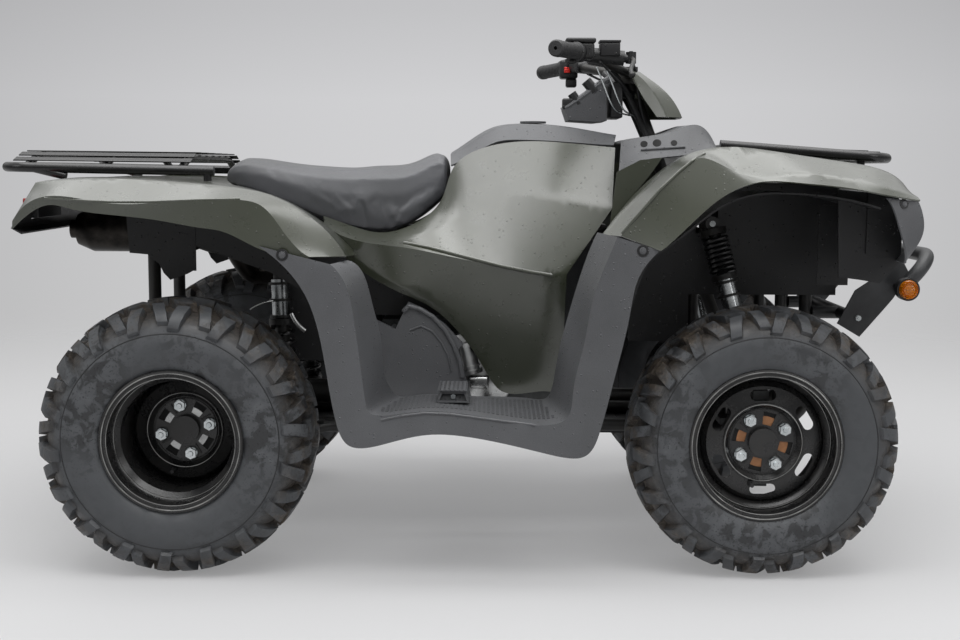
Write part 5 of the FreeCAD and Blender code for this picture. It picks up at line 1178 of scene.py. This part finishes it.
# %% Plugs and bolts
# Each mark is a pixel of the photograph and a diameter in millimetres.
plug_marks = ((282, 255, 15), (643, 251, 15), (904, 204, 13))
recess_shade_marks = ((644, 144, 17), (657, 143, 20), (674, 143, 15))
bolt_marks = ((858, 318, 12),)
panels = surface_tree(["front_fender_right", "rear_fender_right", "floorboard_right", "fender_tips", "bumper",
                       "engine_covers", "side_cover_right", "console", "tank_strip"])
plugs = bmesh.new()
caps = bmesh.new()
recess_shades = bmesh.new()
bolts = bmesh.new()
for place, out, dia in both_sides(panels, plug_marks):
    add_rod(plugs, place - out * 0.001, place + out * 0.0010, dia * 1.7, 32, 0.96)
    add_rod(caps, place + out * 0.0008, place + out * 0.0034, dia, 24, 0.84)
    add_rod(caps, place + out * 0.0032, place + out * 0.0044, dia * 0.55, 24, 0.9)
# Near-black discs on the console's hollows are painted shade.
for place, out, dia in both_sides(panels, recess_shade_marks):
    add_rod(recess_shades, place - out * 0.001, place + out * 0.0008, dia, 24, 0.97)
for place, out, dia in both_sides(panels, bolt_marks):
    add_flange_nut(bolts, place - out * 0.0005, out, dia)
piece_from(plugs, "plug_seats", black_plastic, "chassis")
piece_from(recess_shades, "console_recess_painted_shade", shade_black_paint, "chassis")
piece_from(caps, "push_plugs", grey_plastic, "chassis")
piece_from(bolts, "panel_bolts", zinc, "chassis")
print("fixings ready")

# %% [markdown]
# ## Creases on the panels
# The moulded panels have a raised line along each main crease, which shows as a thin bright streak
# because it mirrors the light above. A thin tube, half sunk in the surface, makes it. The grey
# covers have a rolled rim, which is the same tube in grey.

# %% Raised creases
def lay_tubes(work, runs, lift):
    """A tube along each line of pixels, on the surface and raised by a share, on both sides."""
    for name, pixels, dia in runs:
        tree = surface_tree([name])
        found = []
        for (ax, ay), (bx, by) in zip(pixels, pixels[1:]):
            for share in (k / 6 for k in range(6)):
                spot, normal = behind_pixel(tree, ax + (bx - ax) * share, ay + (by - ay) * share)
                if spot is not None:
                    found.append(spot + normal * dia * lift)
        print(name, "line with", len(found), "points")
        add_tube(work, found, dia, 4)
        add_tube(work, [flipped(place) for place in found], dia, 4)


creases = bmesh.new()
grey_rims = bmesh.new()
lay_tubes(creases, (
    ("front_fender_right", [(622, 234), (640, 213), (660, 190), (680, 171), (696, 158), (706, 153)], 0.007),
    ("side_cover_right", [(404, 243), (430, 248), (465, 257), (500, 266), (530, 272), (556, 276)], 0.009),
    ("rear_fender_right", [(44, 198), (75, 200), (110, 202), (150, 202), (200, 200), (248, 199)], 0.005),
), 0.08)
lay_tubes(grey_rims, (
    ("engine_covers", [(403, 312), (409, 306), (420, 309), (433, 317), (445, 330), (454, 346), (460, 362),
                       (463, 380)], 0.012),
    ("engine_covers", [(410, 330), (421, 326), (432, 331), (441, 342), (448, 356), (452, 374)], 0.005),
    ("console", [(641, 150), (655, 149), (670, 148), (688, 147)], 0.007),
    ("floorboard_right", [(381, 420), (400, 416), (425, 413), (450, 414), (480, 418), (510, 422), (540, 426)],
     0.005),
), 0.1)
piece_from(grey_rims, "cover_rims", grey_plastic, "chassis")
piece_from(creases, "panel_creases", olive, "chassis")

# %% [markdown]
# ## Inner panels and crankcase
# Black panels close the view past the engine and inside the arches, as on the real machine. The
# crankcase is bright cast alloy where it shows between the side cover and the engine cover.

# %% Inner panels
def add_plate(work, y, outline):
    """A thin flat plate in the side plane, from (x, z) points, on both sides of the machine."""
    for side in (-1, 1):
        plate = bmesh.new()
        face = plate.faces.new([plate.verts.new((px, side * y, pz)) for px, pz in outline])
        raised = bmesh.ops.extrude_face_region(plate, geom=[face])
        bmesh.ops.translate(plate, verts=[v for v in raised["geom"] if isinstance(v, bmesh.types.BMVert)],
                            vec=(0, side * plate_thickness, 0))
        bmesh.ops.recalc_face_normals(plate, faces=plate.faces)
        merge_into(work, plate)


plate_thickness = 0.0025
inner = bmesh.new()
add_plate(inner, 0.1470, [(-0.480, 0.420), (-0.240, 0.420), (-0.240, 0.530), (-0.040, 0.530), (-0.040, 0.700),
                          (-0.480, 0.730)])
add_plate(inner, 0.2690, [(-0.640, 0.700), (-0.560, 0.672), (-0.470, 0.640), (-0.400, 0.600), (-0.385, 0.700),
                          (-0.420, 0.765), (-0.640, 0.790)])
add_plate(inner, 0.3000, [(0.775, 0.620), (0.845, 0.620), (0.845, 0.800), (0.775, 0.800)])
add_plate(inner, 0.4400, [(0.845, 0.700), (0.920, 0.690), (0.922, 0.760), (0.912, 0.820), (0.880, 0.831),
                          (0.845, 0.834)])
piece_from(inner, "inner_panels", black_plastic, "chassis")
tank_wing = bmesh.new()
add_plate(tank_wing, 0.3035, [(0.302, 0.738), (0.309, 0.738), (0.338, 0.799), (0.393, 0.867), (0.419, 0.905),
                              (0.370, 0.900), (0.318, 0.873)])
piece_from(tank_wing, "inner_wings", olive, "chassis")

# %% Crankcase cover
case = bmesh.new()
cover = [(0.0005, 0.004), (0.088, 0.004), (0.0955, 0.0), (0.0975, -0.004), (0.0975, -0.014), (0.0955, -0.018)]
# Collars on the barrel: where each starts and ends along it, and its diameter.
collars = ((0.0, 0.009, 0.052), (0.016, 0.020, 0.045))
for side in (-1, 1):
    spun(case, [(r, side * s) for r, s in cover], Vector((-0.002, side * 0.2255, 0.405)))
    foot = Vector((-0.001, side * 0.236, 0.375))
    top = Vector((-0.021, side * 0.236, 0.471))
    rise = (top - foot).normalized()
    span = (top - foot).length
    root = foot + rise * span * 0.30
    add_rod(case, root, top, 0.040, 28)
    add_rod(case, top - rise * 0.004, top + rise * 0.006, 0.050, 28)
    for start, end, dia in collars:
        add_rod(case, root + rise * start, root + rise * end, dia, 28)
    near, far = sorted((side * 0.226, side * 0.256))
    add_block(case, (foot.x - 0.014, near, foot.z - 0.006), (foot.x + 0.034, far, foot.z + span * 0.24), 7, 4)
piece_from(case, "crankcase_cover", cast_alloy, "chassis")
brackets = bmesh.new()
add_tube(brackets, [(-0.424, -0.264, 0.545), (-0.414, -0.268, 0.520), (-0.392, -0.268, 0.505)], 0.010, 8)
add_tube(brackets, [(-0.520, -0.262, 0.553), (-0.498, -0.262, 0.570), (-0.466, -0.262, 0.573)], 0.0035, 8)
piece_from(brackets, "brake_bracket", cast_alloy, "chassis")
print("creases, inner panels and crankcase ready")

# %% [markdown]
# ## Floor tread
# The floorboards have rows of small square studs so that a muddy boot doesn't slip. One stud is a
# block of twelve triangles. It is dropped onto the board from above wherever the board is level.

# %% Studs on the floorboards
stud_pitch = 0.0098
stud_size = (0.0058, 0.0058, 0.0024)
studs_across, studs_along = 21, 48
first_stud_x, first_stud_y = -0.262, 0.338
stud_rise = 0.0004
# A stud is dropped from above the board, onto a face that is level enough and not too high.
drop_z, highest_z, level_share = 0.60, 0.42, 0.94
down = Vector((0, 0, -1))
studs = bmesh.new()
for hand, side in (("right", -1), ("left", 1)):
    board = surface_tree(["floorboard_" + hand, "foot_pegs"])
    for k in range(studs_across * studs_along):
        row, column = divmod(k, studs_along)
        above = Vector((column * stud_pitch + first_stud_x, side * (first_stud_y + row * stud_pitch), drop_z))
        spot, normal = board.ray_cast(above, down)[:2]
        if spot is None or abs(normal.z) < level_share or spot.z > highest_z:
            continue
        shape = Matrix.Translation(spot - down * stud_rise) @ Matrix.Diagonal((*stud_size, 1.0))
        bmesh.ops.create_cube(studs, size=1.0, matrix=shape)

# %% [markdown]
# ## Foot pegs
# Each peg is a moulded block that narrows upwards, with a pocket in its outer end, ribs across its
# top for grip and a bolt in the pocket. The pocket is an inset of the end face, pushed inwards.

# %% Foot pegs
peg_inner, peg_shoulder = 0.331, 0.40
top_share, top_draw = 0.80, 0.006
pocket_wall, pocket_depth = 0.0065, 0.014
peg_ribs, rib_margin, rib_half = 6, 0.012, 0.0028
low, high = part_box("foot_pegs")
middle = (low + high) / 2
pegs = bmesh.new()
peg_bolts = bmesh.new()
for side in (-1, 1):
    near, far = sorted((side * peg_inner, side * (high.y - 0.001)))
    peg = bmesh.new()
    add_block(peg, (low.x + 0.001, near, low.z + 0.001), (high.x - 0.001, far, high.z - 0.001))
    for v in peg.verts:
        if v.co.z > middle.z:
            v.co.x = (v.co.x - middle.x) * top_share + middle.x
            v.co.y -= side * top_draw if abs(v.co.y) > peg_shoulder else 0.0
    front_face = max(peg.faces, key=lambda f: f.calc_center_median().y * side)
    bmesh.ops.inset_region(peg, faces=[front_face], thickness=pocket_wall, depth=0.0)
    pocket = bmesh.ops.extrude_face_region(peg, geom=[front_face])
    bmesh.ops.translate(peg, verts=[v for v in pocket["geom"] if isinstance(v, bmesh.types.BMVert)],
                        vec=(0, -side * pocket_depth, 0))
    bmesh.ops.delete(peg, geom=[front_face], context="FACES")
    merge_into(pegs, peg)
    for k in range(peg_ribs):
        x = low.x + rib_margin + k * (high.x - low.x - 2 * rib_margin) / (peg_ribs - 1)
        add_block(pegs, (x - rib_half, near + 0.004, high.z - 0.0015),
                  (x + rib_half, far - 0.008, high.z + 0.0022), 0.8)
    bolt_place = Vector((middle.x, side * (high.y - pocket_depth), middle.z))
    add_rod(peg_bolts, bolt_place, bolt_place + Vector((0, side * 0.006, 0)), 0.012, 6)
peg_piece = piece_from(pegs, "moulded_foot_pegs", grey_plastic, "chassis")
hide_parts("foot_pegs")
piece_from(peg_bolts, "foot_peg_bolts", zinc, "chassis")
piece_from(studs, "tread_studs", grey_plastic, "chassis")
print("tread ready")


# %% [markdown]
# ## Rack slats
# Each rack carries flat pressed straps between its end tubes, painted gloss black like the tubes.
# Their tops catch the light. The straps lie on the cross tubes: a ray from above finds the height of
# the tubes at each place, so the straps follow the crown of the rack.

# %% Straps on the racks
strap_offsets = (0.300, 0.262, 0.205, 0.120, 0.040)
strap_width, strap_thickness, strap_bevel = 0.026, 0.0028, 0.0012
lowest_tube, above_racks = 0.80, 1.05
station_count = 60
lean_reach = 0.012


def add_plank(work, start, end, lean):
    """A flat bar from start to end, with its width leaning by an angle about its length."""
    run = end - start
    lie = run.to_track_quat("X", "Z").to_matrix().to_4x4() @ Matrix.Rotation(lean, 4, "X")
    size = Matrix.Diagonal((run.length, strap_width, strap_thickness, 1.0))
    made = bmesh.ops.create_cube(work, size=1.0, matrix=Matrix.Translation((start + end) / 2) @ lie @ size)
    round_edges(work, made, strap_bevel, 2)


def tube_top(tree, x_low, x_high, y):
    """The highest place of the rack between two stations at one width."""
    stations = [x_low + (x_high - x_low) * k / (station_count - 1) for k in range(station_count)]
    spots = [tree.ray_cast(Vector((x, y, above_racks)), down)[0] for x in stations]
    return max([spot.z for spot in spots if spot is not None], default=-1.0)


straps = bmesh.new()
for name, x_low, x_high in (("rear_rack", -1.040, -0.640), ("front_rack", 0.600, 0.905)):
    rack = surface_tree([name])
    middle = (x_low + x_high) / 2
    for y, side in ((side * offset, side) for offset in strap_offsets for side in (-1, 1)):
        ends = [(x_low, tube_top(rack, x_low, middle, y)), (x_high, tube_top(rack, middle, x_high, y))]
        if min(z for x, z in ends) < lowest_tube:
            continue
        outer, inner = [tube_top(rack, x_low, x_high, y + side * step) for step in (lean_reach, -lean_reach)]
        rise = outer - inner
        lean = math.atan2(rise * side, 2 * lean_reach) if abs(rise) < lean_reach else 0.0
        start, end = [Vector((x, y, z + strap_bevel)) for x, z in ends]
        add_plank(straps, start, end, lean)
piece_from(straps, "rack_straps", rack_coat, "chassis")
print("straps ready")

# %% [markdown]
# ## Seat
# The seat is a foam block under a vinyl cover. The foam pushes the cover out, so the sides swell
# between the lower edge and the crease. A cloth simulation with a little pressure does that better
# than a hand could: the CAD shape is remeshed evenly, blown up slightly, and kept within a few
# millimetres of where it started.

# %% Applying modifiers
def apply_modifiers(piece):
    """Writes what the modifiers make into the piece's own mesh."""
    graph = bpy.context.evaluated_depsgraph_get()
    graph.update()
    result = bpy.data.meshes.new_from_object(piece.evaluated_get(graph))
    old = piece.data
    piece.modifiers.clear()
    piece.data = result
    bpy.data.meshes.remove(old)


# %% Seat
voxel_size = 0.006
slimmed_by = 0.004
most_swell = 0.006
pressed_frames = 20
node = "seat"
work = bmesh.new()
work.from_mesh(nodes[node].data)
bmesh.ops.remove_doubles(work, verts=work.verts, dist=0.00005)
seat = piece_from(work, "stuffed_seat", seat_vinyl, "chassis")
remesh = seat.modifiers.new("remesh", "REMESH")
remesh.mode = "VOXEL"
remesh.voxel_size = voxel_size
relax = seat.modifiers.new("relax", "SMOOTH")
relax.iterations = 6
relax.factor = 0.5
slim = seat.modifiers.new("slim", "DISPLACE")
slim.strength = -slimmed_by
slim.mid_level = 0.0
apply_modifiers(seat)

# %% Pressed cover
before = [v.co.copy() for v in seat.data.vertices]
cloth = seat.modifiers.new("cloth", "CLOTH")
cloth.settings.quality = 5
cloth.settings.mass = 0.3
cloth.settings.use_pressure = True
cloth.settings.uniform_pressure_force = 4.0
cloth.settings.effector_weights.gravity = 0.0
cloth.point_cache.frame_start = 1
cloth.point_cache.frame_end = pressed_frames
for step in range(1, pressed_frames + 1):
    bpy.context.scene.frame_set(step)
apply_modifiers(seat)
bpy.context.scene.frame_set(1)
for v, was in zip(seat.data.vertices, before):
    move = v.co - was
    if move.length > most_swell:
        v.co = was + move.normalized() * most_swell
smooth = seat.modifiers.new("smooth", "SUBSURF")
smooth.levels = smooth.render_levels = 1
apply_modifiers(seat)
for polygon in seat.data.polygons:
    polygon.use_smooth = True
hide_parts(node)
print("seat", len(seat.data.polygons), "faces")


# %% The sizes of the scene
low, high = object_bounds()
